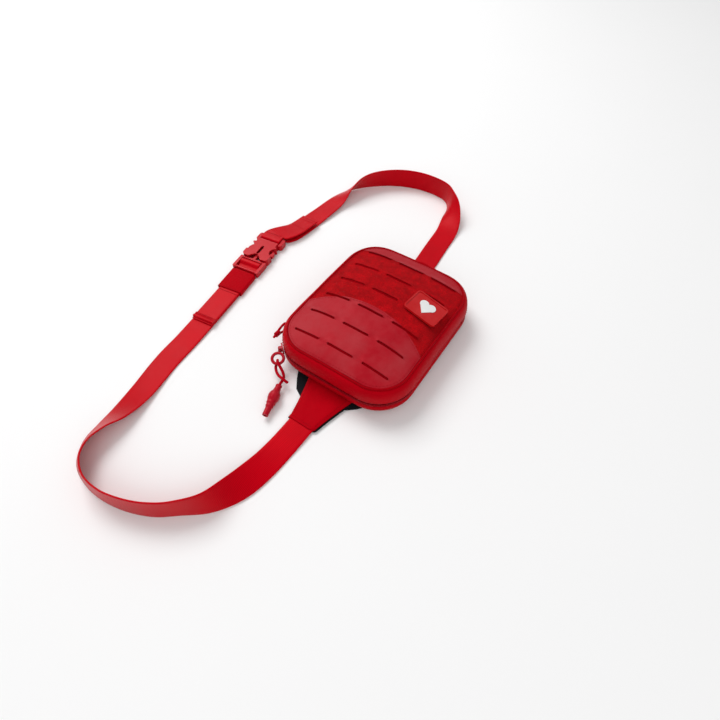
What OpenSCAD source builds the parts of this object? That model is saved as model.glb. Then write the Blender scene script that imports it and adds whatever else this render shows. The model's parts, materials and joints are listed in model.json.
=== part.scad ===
// Sling first aid pouch: a zipped clamshell pouch with a laser-cut front, held by
// hook and loop on a thin carrier panel, which hangs on a 25 mm sling strap with a
// side release buckle. Millimetres. The origin is the middle of the carrier's flat
// back face, X runs across the pouch, Y towards the grab handle, Z out of the front.

/* [Pouch] */
// Width of the pouch over its walls
pouch_w = 142; // [136:1:150]
// Height of the pouch over its walls
pouch_h = 174; // [168:1:182]
// Plan radius of the pouch's corners
corner_r = 38; // [34:1:42]
// Top of the domed front at the middle
dome_top = 47; // [45:0.5:49]
// Radius of the domed front
dome_r = 229; // [215:1:260]
// Thickness of the shell fabric with its padding
shell_t = 1.5; // [1.2:0.1:1.6]

/* [Front slots] */
// Pitch of the slots across the pouch
slot_pitch_x = 38.1; // [36:0.1:40]
// Pitch of the slot rows up the pouch
slot_pitch_y = 25.4; // [24:0.1:26]
// Length of one slot
slot_len = 28; // [24:1:30]
// Width of one slot
slot_w = 1.8; // [1.4:0.1:2.2]

/* [Strap] */
// Width of the strap webbing
web_w = 25.4; // [25:0.1:25.6]
// Thickness of the strap webbing
web_t = 1.6; // [1.4:0.1:1.6]

/* [Patch] */
// Width of the removable patch
patch_w = 36; // [30:1:38]
// Height of the removable patch
patch_h = 29; // [24:1:31]

/* [Hidden] */
$fn = 64;
eps = 0.01;

// Half the spacing of the corner centres
cx = pouch_w / 2 - corner_r;
cy = pouch_h / 2 - corner_r;

// Heights of the layers, from the ground up
carrier_top = 4.0;
carrier_loop_top = 4.5;
hook_bottom = 4.8;
back_bottom = 5.3;
back_top = 14.2;
zip_z = 16;
lid_bottom = 17.8;

// Clear step between a seam and the next layer
seam_gap = 0.1;
// Width and height of the outline that the piping follows
seam_w = pouch_w - 12;
seam_h = pouch_h - 12;
seam_r = corner_r - 5.5;
// Width of the piping and of the coil of the zipper
piping_w = 1.5;
// Centre height of the dome's sphere
dome_z = dome_top - dome_r;

// Length of the spine, the stretch of the right wall with no zipper
spine_len = 98;

// Carrier panel
carrier_w = 126;
carrier_h = 160;
carrier_r = 34;

// Wing: from the carrier's lower edge to the strap
wing_x = 2;
wing_top_w = 54;
wing_end_w = 29;
wing_top_y = -carrier_h / 2 - seam_gap;
wing_end_y = -129;
wing_show = 1.8;

// Buckle: its middle, its turn about Z, and the positions along it
buckle_pos = [-174.8, 18, 0];
buckle_turn = 7.7;
web_slot_w = 26.8;

// Strap routes, seen from above: x, y, lift of the webbing's lowest edge, roll.
// The roll turns the webbing about its own run: at 0 it lies flat, and it stands on
// its edge at 90 (inner edge up) or -90 (outer edge up).
upper_route = [
    [-8, 80.2, 1.0, 0], [-8, 90, 1.0, 0], [-9, 116, 0, 0], [-12, 150, 0, 0], [-15, 182, 0, -6],
    [-23, 205, 0, -38], [-33, 221.5, 0, -76], [-45, 233, 0, -88], [-62, 237, 0, -90],
    [-84, 236, 0, -90], [-106, 229, 0, -92], [-125, 217, 0, -97], [-140, 202, 0, -105],
    [-150, 186, 0, -120], [-156, 168, 0, -143], [-159, 148, 0, -168], [-161.5, 124, 0, -174],
    [-164.3, 100, 0.4, -180], [-165.5, 84, 1.0, -180], [-168, 70, 1.1, -180],
    [-173.2, 60, 1.1, -180], [-179.4, 52, 1.1, -180]];
lower_route = [
    [2, -104, 1.05, 0], [2, -130, 1.05, 0], [1, -158, 0, 2], [-0.5, -182.5, 0, 12],
    [-3.8, -207.5, 0, 40], [-12.8, -230.2, 0, 70], [-29.5, -247.5, 0, 84], [-46, -260, 0, 84],
    [-66, -269, 0, 84], [-88, -274, 0, 84], [-110, -273, 0, 78], [-130, -264, 0, 62],
    [-140.5, -248, 0, 50], [-141.8, -230.5, 0, 40], [-141.5, -212, 0, 21], [-145, -186, 0, 6],
    [-152.3, -150, 0, 0], [-155.3, -118, 0.3, 0], [-158.9, -86, 1.1, 0], [-162.4, -60, 1.1, 0],
    [-166.4, -34, 1.1, 0], [-169.7, -19.6, 1.1, 0]];
// Stretch of the lower route that the tail doubles, from its hem to the buckle
tail_route = [
    [-158, -92, 2.9, 0], [-162.4, -60, 3.1, 0], [-166.4, -34, 3.1, 0], [-169.7, -19.6, 3.2, 0]];
// The sewn fold above the upper strap, from its free end to the buckle
fold_route = [
    [-164.2, 102.5, 2.2, 172], [-164.8, 96, 2.5, 172], [-165.6, 86, 3.2, 173], [-167, 76, 4.2, 175],
    [-170.5, 66, 5.8, 178], [-176.5, 56.5, 7.0, 180], [-179.4, 52.2, 7.2, 180]];

// Path that the pull's cord follows, x, y, z: out of the moulded end, through the ring
// and back to a free end that crosses over the start
cord_route = [
    [-39.2, -108.8, 6.4], [-39.6, -106.4, 6.6], [-39.6, -103.8, 7.2], [-40, -101, 8.4],
    [-42.6, -98.2, 10.4], [-46.6, -96.2, 13], [-50.2, -94.9, 15.7], [-52.6, -93.3, 16.3],
    [-54.2, -91.7, 15.2], [-54.9, -91.1, 13.05], [-55, -92.2, 10.9], [-54.6, -94.6, 9.7],
    [-52.4, -97.6, 9.4], [-48.9, -100.4, 9.6], [-45, -102.4, 10.1], [-41.5, -103.2, 10.5],
    [-38, -103.4, 10], [-35.4, -103.2, 8.6], [-34, -102.9, 7.2]];
cord_d = 2.8;

// Patch: its middle on the dome, and its turn about its own axis
patch_pos = [41, 21];
patch_turn = -5;
patch_seat = dome_r + 0.6;

// Slider positions: the left one on the straight wall, the other in the corner
slider_left_y = -48;
slider_corner_angle = 229;
// Distance of a pull's pivot from the wall
pivot_out = 3.7;
pivot_r = 0.9;
pivot_play = 0.05;

// ---------- shapes that repeat ----------

// Rounded rectangle about the origin
module rrect(w, h, r) {
    square([w - 2 * r, h], center = true);
    square([w, h - 2 * r], center = true);
    for (sx = [-1, 1], sy = [-1, 1])
        translate([sx * (w / 2 - r), sy * (h / 2 - r)]) circle(r);
}

module slab(w, h, r, z0, z1) {
    translate([0, 0, z0]) linear_extrude(z1 - z0) rrect(w, h, r);
}

// Rounded rectangular ring, t wide
module ring(w, h, r, t, z0, z1) {
    translate([0, 0, z0]) linear_extrude(z1 - z0) difference() {
        rrect(w, h, r);
        rrect(w - 2 * t, h - 2 * t, r - t);
    }
}

// Box from its lowest to its highest corner
module block(a, b) {
    translate(a) cube(b - a);
}

// Solid under the dome that is lowered by d
module dome(d) {
    translate([0, 0, dome_z]) sphere(dome_r - d, $fn = 128);
}

// Layer of the front between two depths, inside a 2D outline
module face_layer(d_out, d_in) {
    difference() {
        intersection() {
            dome(d_out);
            translate([0, 0, lid_bottom]) linear_extrude(60) children();
        }
        dome(d_in);
    }
}

// One slot as a flat outline
module slot() {
    square([slot_len - slot_w, slot_w], center = true);
    for (s = [-1, 1]) translate([s * (slot_len - slot_w) / 2, 0]) circle(slot_w / 2);
}

module slots() {
    for (i = [-1, 0, 1], j = [-2.5:1:2.5])
        translate([i * slot_pitch_x, j * slot_pitch_y]) slot();
}

// Catmull-Rom interpolation of a route's rows
function blend_rows(a, b, c, d, t) =
    0.5 * (2 * b + (c - a) * t + (2 * a - 5 * b + 4 * c - d) * t * t
           + (3 * b - a - 3 * c + d) * t * t * t);
function smooth(p, n) = [
    for (i = [0:len(p) - 2], k = [0:n - 1])
        blend_rows(p[max(i - 1, 0)], p[i], p[i + 1], p[min(i + 2, len(p) - 1)], k / n),
    p[len(p) - 1]];
function unit(v) = v / norm(v);
function run_at(p, i) =
    let (v = p[min(i + 1, len(p) - 1)] - p[max(i - 1, 0)]) unit([v[0], v[1]]);

// Corners of the webbing's cross-section at a row of the route
function web_ring(row, run, side, w, t) =
    let (r = row[3],
         out = side * [run[1], -run[0]],
         across = [out[0] * cos(r), out[1] * cos(r), -sin(r)],
         up = [out[0] * sin(r), out[1] * sin(r), cos(r)],
         z = row[2] + w / 2 * abs(sin(r)) + t / 2 * abs(cos(r)),
         c = [row[0], row[1], z])
    [c + across * w / 2 + up * t / 2, c - across * w / 2 + up * t / 2,
     c - across * w / 2 - up * t / 2, c + across * w / 2 - up * t / 2];

// Closed skin over a list of rings, each a closed loop of n points
module skin(rings) {
    n = len(rings[0]);
    last = len(rings) - 1;
    pts = [for (r = rings) for (q = r) q];
    faces = concat(
        [[for (k = [0:n - 1]) k]],
        [for (i = [0:last - 1], k = [0:n - 1])
            each [[i * n + k, (i + 1) * n + k, (i + 1) * n + (k + 1) % n],
                  [i * n + k, (i + 1) * n + (k + 1) % n, i * n + (k + 1) % n]]],
        [[for (k = [n - 1:-1:0]) last * n + k]]);
    polyhedron(pts, faces);
}

// Webbing along a route; side is 1 where the loop lies on the left of the run. Over its
// last rows it comes square to the buckle, which it meets at end_turn about Z.
square_rows = 8;
module webbing(route, n, side, end_turn) {
    rows = smooth(route, n);
    last = len(rows) - 1;
    end_run = [-sin(end_turn), cos(end_turn)];
    rings = [
        for (i = [0:last])
            let (f = max(0, 1 - (last - i) / square_rows),
                 run = unit(run_at(rows, i) * (1 - f) + end_run * f))
            web_ring(rows[i], run, side, web_w, web_t)];
    if (side > 0) skin(rings);
    else skin([for (r = rings) [r[3], r[2], r[1], r[0]]]);
}

// Band of thickness t along a flat path
function path_side(p, d) = [
    for (i = [0:len(p) - 1])
        let (v = unit(p[min(i + 1, len(p) - 1)] - p[max(i - 1, 0)])) p[i] + d * [-v[1], v[0]]];
function reversed(p) = [for (i = [len(p) - 1:-1:0]) p[i]];
module band(path, t) {
    polygon(concat(path_side(path, t / 2), reversed(path_side(path, -t / 2))));
}

// Round cord along a list of points
module cord(path, d, sides) {
    rings = [
        for (i = [0:len(path) - 1])
            let (v = unit(path[min(i + 1, len(path) - 1)] - path[max(i - 1, 0)]),
                 a = unit(cross(v, [0.3, 0.2, 1])),
                 b = cross(v, a))
            [for (k = [0:sides - 1])
                path[i] + d / 2 * (a * cos(-k * 360 / sides) + b * sin(-k * 360 / sides))]];
    skin(rings);
}

// Moves children to the buckle
module at_buckle() {
    translate(buckle_pos) rotate(buckle_turn) children();
}

// Moves children to a slider: X points out of the wall, from its face
module at_slider_left() {
    translate([-pouch_w / 2, slider_left_y, zip_z]) rotate(180) children();
}
module at_slider_corner() {
    translate([-cx, -cy, zip_z]) rotate(slider_corner_angle) translate([corner_r, 0, 0]) children();
}

// ---------- carrier and sling ----------

module carrier_back() {
    color("black") slab(carrier_w, carrier_h, carrier_r, 0, 1.0);
}

module carrier_foam() {
    color("dimgray") slab(carrier_w - 8, carrier_h - 8, carrier_r - 4, 1.0, 3.0);
}

module carrier_front() {
    color("black") slab(carrier_w, carrier_h, carrier_r, 3.0, carrier_top);
}

module carrier_loop_field() {
    color("black") slab(94, 114, 10, carrier_top, carrier_loop_top);
}

module carrier_binding() {
    color("black") difference() {
        ring(carrier_w + 4, carrier_h + 4, carrier_r + 2, 2 - seam_gap, 0, carrier_top);
        block([wing_x - wing_top_w / 2 - 2.5, -100, -1], [wing_x + wing_top_w / 2 + 2.5, 0, 5]);
        block([-22, 0, -1], [6, 100, 5]);
    }
}

// Wing outline, grown by g; its long sides bow inward a little
module wing_outline(g) {
    difference() {
        polygon([
            [wing_x - wing_top_w / 2 - g, wing_top_y], [wing_x + wing_top_w / 2 + g, wing_top_y],
            [wing_x + wing_end_w / 2 + g, wing_end_y + 4], [wing_x + wing_end_w / 2 - 3, wing_end_y - g],
            [wing_x - wing_end_w / 2 + 1, wing_end_y - g], [wing_x - wing_end_w / 2 - g, wing_end_y + 3]]);
        for (s = [-1, 1])
            translate([wing_x + s * (wing_end_w / 2 + 96 + g), wing_end_y + 4]) circle(90, $fn = 128);
    }
}

// The backing shows beyond the wing's right side, and flares where it meets the carrier
module wing_backing() {
    color("black") linear_extrude(1.0) {
        translate([wing_show / 2, 0]) wing_outline(wing_show / 2);
        polygon([[-38, -82.3], [-33.5, -90.3], [-26.2, -100.5], [-17, -105.5], [-10, -95], [-16, -82.3]]);
        polygon([[24, -82.3], [38, -82.3], [34.5, -86.5], [27.5, -92.5], [18, -98]]);
    }
}

module wing_front() {
    color("firebrick") translate([0, 0, 2.85]) linear_extrude(0.8) wing_outline(0);
}

module strap_upper() {
    color("crimson") webbing(upper_route, 4, 1, buckle_turn + 180);
}

module strap_upper_fold() {
    color("crimson") webbing(fold_route, 4, -1, buckle_turn + 180);
}

// Turn of the webbing through the frame of the female half
module strap_upper_wrap() {
    color("crimson") at_buckle() rotate([90, 0, 90]) linear_extrude(web_w, center = true)
        band([[34, 1.9], [26.4, 1.9], [24.9, 2.6], [24.2, 4], [24.2, 6], [24.7, 7.4], [26.2, 8.3],
              [30.5, 8.4], [32.6, 8.3], [34, 8.0]], web_t);
}

module strap_lower() {
    color("crimson") webbing(lower_route, 4, -1, buckle_turn);
}

// Turn of the webbing over the ladder bar of the male half
module strap_lower_wrap() {
    color("crimson") at_buckle() rotate([90, 0, 90]) linear_extrude(web_w, center = true)
        band([[-37.8, 1.9], [-19, 1.9], [-15.6, 2.2], [-14.1, 3.2], [-13.9, 4.7], [-14.2, 6],
              [-15.4, 6.95], [-17, 7.05], [-18.6, 6.7], [-19.8, 5.6], [-21, 4.4], [-23, 3.75],
              [-26, 3.6], [-30, 3.6], [-33, 3.8], [-37.8, 4.0]], 1.5);
}

module strap_tail() {
    color("crimson") webbing(tail_route, 6, -1, buckle_turn);
}

// Rolled and sewn end of the tail
module tail_hem() {
    color("crimson") translate([-158.4, -89.5, 5.6]) rotate(8) {
        rotate([0, 90, 0]) cylinder(h = web_w, r = 0.9, center = true, $fn = 24);
        block([-web_w / 2, 0, -0.9], [web_w / 2, 5, 0.1]);
    }
}

// Elastic band that holds the tail against the strap
keeper_pos = [-167.6, -28.2, 0];
keeper_turn = 9;
keeper_w = 30.6;
keeper_len = 29.2;
module elastic_keeper() {
    color("crimson") translate(keeper_pos) rotate(keeper_turn) difference() {
        block([-keeper_w / 2, -keeper_len / 2, 0.1], [keeper_w / 2, keeper_len / 2, 6.0]);
        block([-keeper_w / 2 + 0.9, -keeper_len, 0.8], [keeper_w / 2 - 0.9, keeper_len, 5.3]);
    }
}

// ---------- buckle ----------

module buckle_female() {
    color("firebrick") at_buckle() difference() {
        union() {
            translate([0, 0, 0.5]) linear_extrude(8.7) {
                translate([0, 2.5]) rrect(33, 25, 4);
                translate([0, 15]) square([26, 14], center = true);
            }
            translate([0, 0, 0.5]) linear_extrude(6.9) translate([0, 26]) rrect(34.6, 12.4, 3);
        }
        // webbing slot and the way out of it below
        block([-web_slot_w / 2, 21.6, -1], [web_slot_w / 2, 26.6, 12]);
        block([-web_slot_w / 2, 26, -1], [web_slot_w / 2, 40, 3.2]);
        // room for the prongs, open at the mouth
        block([-14, -11, 1.9], [14, 10, 7.6]);
        block([-13.6, -11, 1.9], [13.6, 14, 7.6]);
        // side notches, where the prongs' heads show
        for (s = [-1, 1]) translate([s * 18.2, 6.5, -1]) cylinder(h = 12, r = 7);
        // slit in the upper face, and a notch through both faces at the mouth
        translate([0, 4, 7]) linear_extrude(4) rrect(3.4, 14, 1.6);
        translate([0, 0, -1]) linear_extrude(12)
            polygon([[-9, -11], [9, -11], [1.7, -3.5], [-1.7, -3.5]]);
    }
}

module buckle_male() {
    color("firebrick") at_buckle() {
        // rails, and the plate that joins them at the mouth
        for (s = [-1, 1]) translate([s * (web_slot_w / 2 + 1.65), -20.05, 0.5])
            linear_extrude(6.6) rrect(3.3, 19.3, 1.2);
        block([-16.6, -12.7, 0.5], [16.6, -10.4, 6.6]);
        // bar that the webbing turns over, and the bar that holds the tail down
        translate([0, -16.7, 4.5]) rotate([0, 90, 0])
            linear_extrude(web_slot_w + 2, center = true) rrect(3.2, 3.0, 1.2);
        translate([0, -28, 5.9]) rotate([0, 90, 0])
            linear_extrude(web_slot_w + 2, center = true) rrect(2.3, 2.8, 1.0);
        // middle guide
        translate([0, 0, 3.2]) linear_extrude(3.2) {
            translate([0, -5.4]) square([3.2, 11], center = true);
            translate([0, 0.1]) circle(1.6);
        }
    }
}

// One sprung arm of the male half, drawn on the right
module prong() {
    translate([0, 0, 2.9]) linear_extrude(3.7) difference() {
        union() {
            polygon([[8.2, -9.9], [11.4, -9.9], [12.6, 1.6], [16.4, 2.0], [16.9, 5.0],
                     [15.6, 9.0], [12.4, 12.4], [9.8, 13.2], [8.4, 12.0]]);
            translate([9.8, 11.8]) circle(1.6);
        }
        translate([11.6, 6.5]) circle(2.0);
    }
}

module buckle_prong_left() {
    color("firebrick") at_buckle() mirror([1, 0, 0]) prong();
}

module buckle_prong_right() {
    color("firebrick") at_buckle() prong();
}

// ---------- back half of the pouch ----------

module back_shell() {
    color("crimson") difference() {
        slab(pouch_w, pouch_h, corner_r, back_bottom, back_top);
        slab(pouch_w - 2 * shell_t, pouch_h - 2 * shell_t, corner_r - shell_t, back_bottom + 1, 20);
    }
}

module back_hook_panel() {
    color("black") slab(90, 110, 8, hook_bottom, back_bottom);
}

module back_stiffener() {
    color("white") slab(pouch_w - 12, pouch_h - 12, corner_r - 6, back_bottom + 1, back_bottom + 2);
}

module back_lining() {
    color("dimgray") slab(pouch_w - 3.4, pouch_h - 3.4, corner_r - 1.7, back_bottom + 2, back_bottom + 2.6);
}

// Row of elastic loops sewn across the lining
loop_count = 4;
loop_pitch = 28;
loop_rise = 7;
loop_y = 14;
module elastic_loops() {
    half = (loop_pitch - 1.4) / 2;
    r = (half * half + loop_rise * loop_rise) / (2 * loop_rise);
    base = back_bottom + 2.6;
    color("black") translate([0, loop_y + 25, base]) rotate([90, 0, 0]) linear_extrude(25) {
        translate([-loop_count * loop_pitch / 2, 0]) square([loop_count * loop_pitch, 0.4]);
        for (i = [0:loop_count - 1])
            translate([(i - (loop_count - 1) / 2) * loop_pitch, 0]) intersection() {
                translate([0, loop_rise - r]) difference() {
                    circle(r);
                    circle(r - 0.7);
                }
                translate([-loop_pitch / 2, 0]) square([loop_pitch, 20]);
            }
    }
}

module back_mesh_pocket() {
    color("black") intersection() {
        slab(pouch_w - 8, pouch_h - 8, corner_r - 4, 13.0, 13.5);
        block([-80, -90, 0], [80, -8, 20]);
    }
}

module back_pocket_binding() {
    color("crimson") block([-66, -8, 12.5], [66, -4.5, 14.0]);
}

// Cuts away the stretch of the right wall that has no zipper
module without_spine() {
    difference() {
        children();
        block([60, -spine_len / 2, 0], [80, spine_len / 2, 40]);
    }
}

module zipper_tape_back() {
    color("darkred") without_spine()
        ring(pouch_w - 3.2, pouch_h - 3.2, corner_r - 1.6, 0.7, 11.8, 15.4);
}

module zipper_coil_back() {
    color("darkred") without_spine()
        ring(pouch_w - 1.4, pouch_h - 1.4, corner_r - 0.7, 0.8, back_top + seam_gap, zip_z - 0.2);
}

module spine_hinge() {
    color("crimson") block([68.6, -spine_len / 2 + 1, 8.2], [69.2, spine_len / 2 - 1, 20.6]);
}

// ---------- lid ----------

module zipper_tape_lid() {
    color("darkred") without_spine()
        ring(pouch_w - 3.2, pouch_h - 3.2, corner_r - 1.6, 0.5, 16.6, 20.2);
}

module zipper_coil_lid() {
    color("darkred") without_spine()
        ring(pouch_w - 1.4, pouch_h - 1.4, corner_r - 0.7, 0.8, zip_z + 0.2, lid_bottom - seam_gap);
}

// Hollow lid skin between two depths under the dome and two insets from the wall
module lid_skin(inset, depth, t, z0) {
    difference() {
        intersection() {
            slab(pouch_w - 2 * inset, pouch_h - 2 * inset, corner_r - inset, z0, 60);
            dome(depth);
        }
        intersection() {
            slab(pouch_w - 2 * (inset + t), pouch_h - 2 * (inset + t), corner_r - inset - t, z0 - 1, 60);
            dome(depth + t);
        }
    }
}

module lid_gusset() {
    color("crimson") difference() {
        lid_skin(0, 0.4, 1.4, lid_bottom);
        slab(seam_w, seam_h, seam_r, lid_bottom + 2, 60);
    }
}

module lid_piping() {
    color("darkred") face_layer(-0.9, 1.0) difference() {
        rrect(seam_w - 2 * seam_gap, seam_h - 2 * seam_gap, seam_r - seam_gap);
        rrect(seam_w - 2 * piping_w, seam_h - 2 * piping_w, seam_r - piping_w);
    }
}

// Outline of the front inside the piping
module face_outline() {
    inset = 2 * (piping_w + seam_gap);
    rrect(seam_w - inset, seam_h - inset, seam_r - inset / 2);
}

module lid_face_base() {
    color("darkred") face_layer(1.0, 1.8)
        rrect(seam_w - 2 * seam_gap, seam_h - 2 * seam_gap, seam_r - seam_gap);
}

module lid_foam() {
    color("dimgray") face_layer(1.9, 4.4)
        rrect(seam_w - 2 * seam_gap, seam_h - 2 * seam_gap, seam_r - seam_gap);
}

module lid_lining() {
    color("dimgray") lid_skin(1.8, 4.5, 0.6, 22);
}

module lid_mesh_pocket() {
    color("black") intersection() {
        slab(pouch_w - 9, pouch_h - 9, corner_r - 5, 24.0, 24.5);
        block([-80, -90, 0], [80, 12, 40]);
        dome(5.6);
    }
}

module lid_pocket_binding() {
    color("crimson") block([-66, 12, 23.5], [66, 15.5, 25.0]);
}

// Arched upper edge of the coated lower panel
arch_top = -6.5;
arch_r = 114;
module below_arch(d) {
    translate([0, arch_top - arch_r]) circle(arch_r + d, $fn = 160);
}
// Lower edge of the coated band along the top row of slots
band_y = 2.5 * slot_pitch_y + 0.9;

module lower_panel() {
    color("indianred") face_layer(-0.3, 0.9) difference() {
        intersection() {
            face_outline();
            below_arch(0);
        }
        slots();
    }
}

module loop_field() {
    color("darkred") face_layer(0, 0.9) difference() {
        face_outline();
        below_arch(seam_gap);
        slots();
        translate([-80, band_y - seam_gap]) square([160, 80]);
    }
}

module top_band() {
    color("indianred") face_layer(-0.3, 0.9) difference() {
        face_outline();
        slots();
        translate([-80, band_y - 200]) square([160, 200]);
    }
}

// Handle: a bow of webbing on its edge, sewn to the wall at both ends
handle_x = 3.5;
handle_half = 23.5;
handle_bow = 6;
handle_z0 = 18;
handle_z1 = 28;
module grab_handle() {
    r = (handle_half * handle_half + handle_bow * handle_bow) / (2 * handle_bow);
    y0 = pouch_h / 2 + 0.1;
    color("crimson") translate([handle_x, 0, handle_z0]) linear_extrude(handle_z1 - handle_z0) {
        intersection() {
            translate([0, y0 + handle_bow - r + 0.7]) difference() {
                circle(r + 0.7, $fn = 128);
                circle(r - 0.7, $fn = 128);
            }
            translate([-40, y0]) square([80, 20]);
        }
        for (s = [-1, 1]) translate([s * 28 - 5.5, y0]) square([11, 1.4]);
    }
}

module handle_bartacks() {
    y0 = pouch_h / 2 + 1.5;
    for (x = [-31.5, -26.5, 26.5, 31.5])
        color("darkred") block([handle_x + x - 0.6, y0, handle_z0 + 1.4], [handle_x + x + 0.6, y0 + 0.4, handle_z1 - 1.4]);
}

// ---------- zipper sliders and pulls ----------

// Slider body with two ears and the pin that the pull turns on
module slider() {
    translate([0.35, 0, 0]) rotate([90, 0, 90]) linear_extrude(1.4) rrect(10, 9, 2.4);
    for (s = [-1, 1]) translate([0, 0, s * 2.4 - 0.5]) linear_extrude(1.0) {
        translate([1.7, -1.6]) square([pivot_out - 1.7, 3.2]);
        translate([pivot_out, 0]) circle(1.6);
    }
    translate([pivot_out, 0, 0]) cylinder(h = 4.8, r = pivot_r, center = true);
}

// Barrel of a pull tab round the slider's pin, with a neck to one side
module tab_barrel(angle, reach) {
    difference() {
        union() {
            cylinder(h = 3.4, r = 1.75, center = true);
            rotate(angle) translate([0, -1.1, -1.5]) cube([reach, 2.2, 3]);
        }
        cylinder(h = 10, r = pivot_r + pivot_play, center = true);
    }
}

module slider_left() {
    color("firebrick") at_slider_left() slider();
}

left_pull_angle = 88;
module pull_tab_left() {
    color("firebrick") at_slider_left() translate([pivot_out, 0, 0]) tab_barrel(left_pull_angle, 3.5);
}

// Short loop of cord with its knot, hung from the left tab
module pull_loop_left() {
    color("crimson") at_slider_left() translate([pivot_out, 0, 0]) rotate(left_pull_angle) {
        translate([10.2, 0, -1]) rotate([80, 0, 0]) rotate_extrude() translate([5.2, 0]) circle(1.4, $fn = 24);
        translate([19.3, 0, -1]) sphere(2.4, $fn = 32);
    }
}

module slider_corner() {
    color("firebrick") at_slider_corner() slider();
}

pull_angle = 68;
module pull_tab_corner() {
    color("firebrick") at_slider_corner() translate([pivot_out, 0, 0]) tab_barrel(pull_angle, 2.8);
}

// Moulded ring that the cord is looped through
module pull_ring_corner() {
    color("firebrick") at_slider_corner() translate([pivot_out, 0, -1.6]) rotate(pull_angle)
        translate([10.1, 0, 0]) rotate([0, 14, 0]) rotate_extrude() translate([5.6, 0]) circle(1.5, $fn = 24);
}

module pull_cord_corner() {
    color("crimson") cord(smooth(cord_route, 3), cord_d, 8);
}

// Moulded end of the pull: a waisted bulb with an open tube at its tip
end_base = [-39.2, -109, 6.4];
end_turn = -73.5;
end_tilt = 2;
module pull_end_corner() {
    color("firebrick") translate(end_base) rotate([0, 0, end_turn]) rotate([0, 90 + end_tilt, 0])
        difference() {
            rotate_extrude() polygon([
                [0, 0.2], [2.9, 0.2], [3.2, 1], [3.0, 3], [3.6, 7], [5.3, 10], [5.7, 13], [5.3, 16],
                [4.4, 18.5], [4.5, 20.5], [3.7, 22], [3.8, 24], [3.0, 26], [2.9, 33.6], [0, 33.6]]);
            translate([0, 0, 24]) cylinder(h = 12, r = 2.0);
        }
}

// ---------- removable patch ----------

// Moves children to the patch's seat on the dome, Z along the dome's normal
module at_patch() {
    lean_x = -asin(patch_pos[1] / patch_seat);
    lean_y = asin(patch_pos[0] / (patch_seat * cos(lean_x)));
    translate([0, 0, dome_z]) rotate([0, lean_y, 0]) rotate([lean_x, 0, 0])
        translate([0, 0, patch_seat]) rotate(patch_turn) children();
}

module patch_hook() {
    color("black") at_patch() slab(patch_w - 2, patch_h - 2, 2.5, 0, 0.7);
}

module patch_body() {
    color("red") at_patch() slab(patch_w, patch_h, 3.5, 0.7, 2.3);
}

module patch_border() {
    color("red") at_patch() ring(patch_w, patch_h, 3.5, 1.4, 2.3, 3.0);
}

// Heart
module patch_emblem() {
    color("white") at_patch() translate([0, 0, 2.3]) linear_extrude(0.5) {
        polygon([[-7.8, 0.8], [0, -8.6], [7.8, 0.8], [0, 4]]);
        for (s = [-1, 1]) translate([s * 4, 3]) circle(4.6);
    }
}

carrier_back();
carrier_foam();
carrier_front();
carrier_loop_field();
carrier_binding();
wing_backing();
wing_front();
strap_upper();
strap_upper_fold();
strap_upper_wrap();
strap_lower();
strap_lower_wrap();
strap_tail();
tail_hem();
elastic_keeper();
buckle_female();
buckle_male();
buckle_prong_left();
buckle_prong_right();
back_shell();
back_hook_panel();
back_stiffener();
back_lining();
elastic_loops();
back_mesh_pocket();
back_pocket_binding();
zipper_tape_back();
zipper_coil_back();
spine_hinge();
zipper_tape_lid();
zipper_coil_lid();
lid_gusset();
lid_piping();
lid_face_base();
lid_foam();
lid_lining();
lid_mesh_pocket();
lid_pocket_binding();
loop_field();
top_band();
lower_panel();
grab_handle();
handle_bartacks();
slider_left();
pull_tab_left();
pull_loop_left();
slider_corner();
pull_tab_corner();
pull_ring_corner();
pull_cord_corner();
pull_end_corner();
patch_hook();
patch_body();
patch_border();
patch_emblem();
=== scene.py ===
"""Looks of the sling first aid pouch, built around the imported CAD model.

Lengths are in millimetres and are turned into metres as each mesh is made.
Sweeps follow an outline of stations (centre x, centre y, angle), so that a point at
a radius from the centre runs round the pouch and its corners.
"""
import json
import math

import bmesh
import bpy
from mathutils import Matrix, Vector, noise
from mathutils.geometry import delaunay_2d_cdt


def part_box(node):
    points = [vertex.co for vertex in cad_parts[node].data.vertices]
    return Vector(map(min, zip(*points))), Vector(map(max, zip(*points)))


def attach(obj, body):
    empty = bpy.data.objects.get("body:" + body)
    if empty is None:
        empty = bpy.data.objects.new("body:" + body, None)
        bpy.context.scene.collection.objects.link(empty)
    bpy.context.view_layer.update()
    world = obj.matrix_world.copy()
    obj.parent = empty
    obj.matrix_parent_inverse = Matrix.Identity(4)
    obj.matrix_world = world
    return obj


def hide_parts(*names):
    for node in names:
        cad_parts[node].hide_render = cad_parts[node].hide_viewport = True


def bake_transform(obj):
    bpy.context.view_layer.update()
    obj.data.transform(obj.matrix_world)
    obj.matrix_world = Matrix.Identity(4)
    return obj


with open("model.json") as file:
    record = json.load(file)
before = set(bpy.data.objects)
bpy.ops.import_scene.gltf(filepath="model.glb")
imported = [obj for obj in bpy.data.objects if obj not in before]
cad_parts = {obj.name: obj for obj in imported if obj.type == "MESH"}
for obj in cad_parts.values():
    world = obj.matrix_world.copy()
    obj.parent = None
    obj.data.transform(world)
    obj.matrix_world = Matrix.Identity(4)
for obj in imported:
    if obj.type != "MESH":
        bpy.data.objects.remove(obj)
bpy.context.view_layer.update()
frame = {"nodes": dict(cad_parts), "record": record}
scene = bpy.context.scene

MM = 0.001
TAU = 2 * math.pi


def node_box(node):
    """Lowest and highest corner of a CAD node, in millimetres."""
    low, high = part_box(node)
    return Vector(low) / MM, Vector(high) / MM


# ---------- sizes ----------

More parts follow.
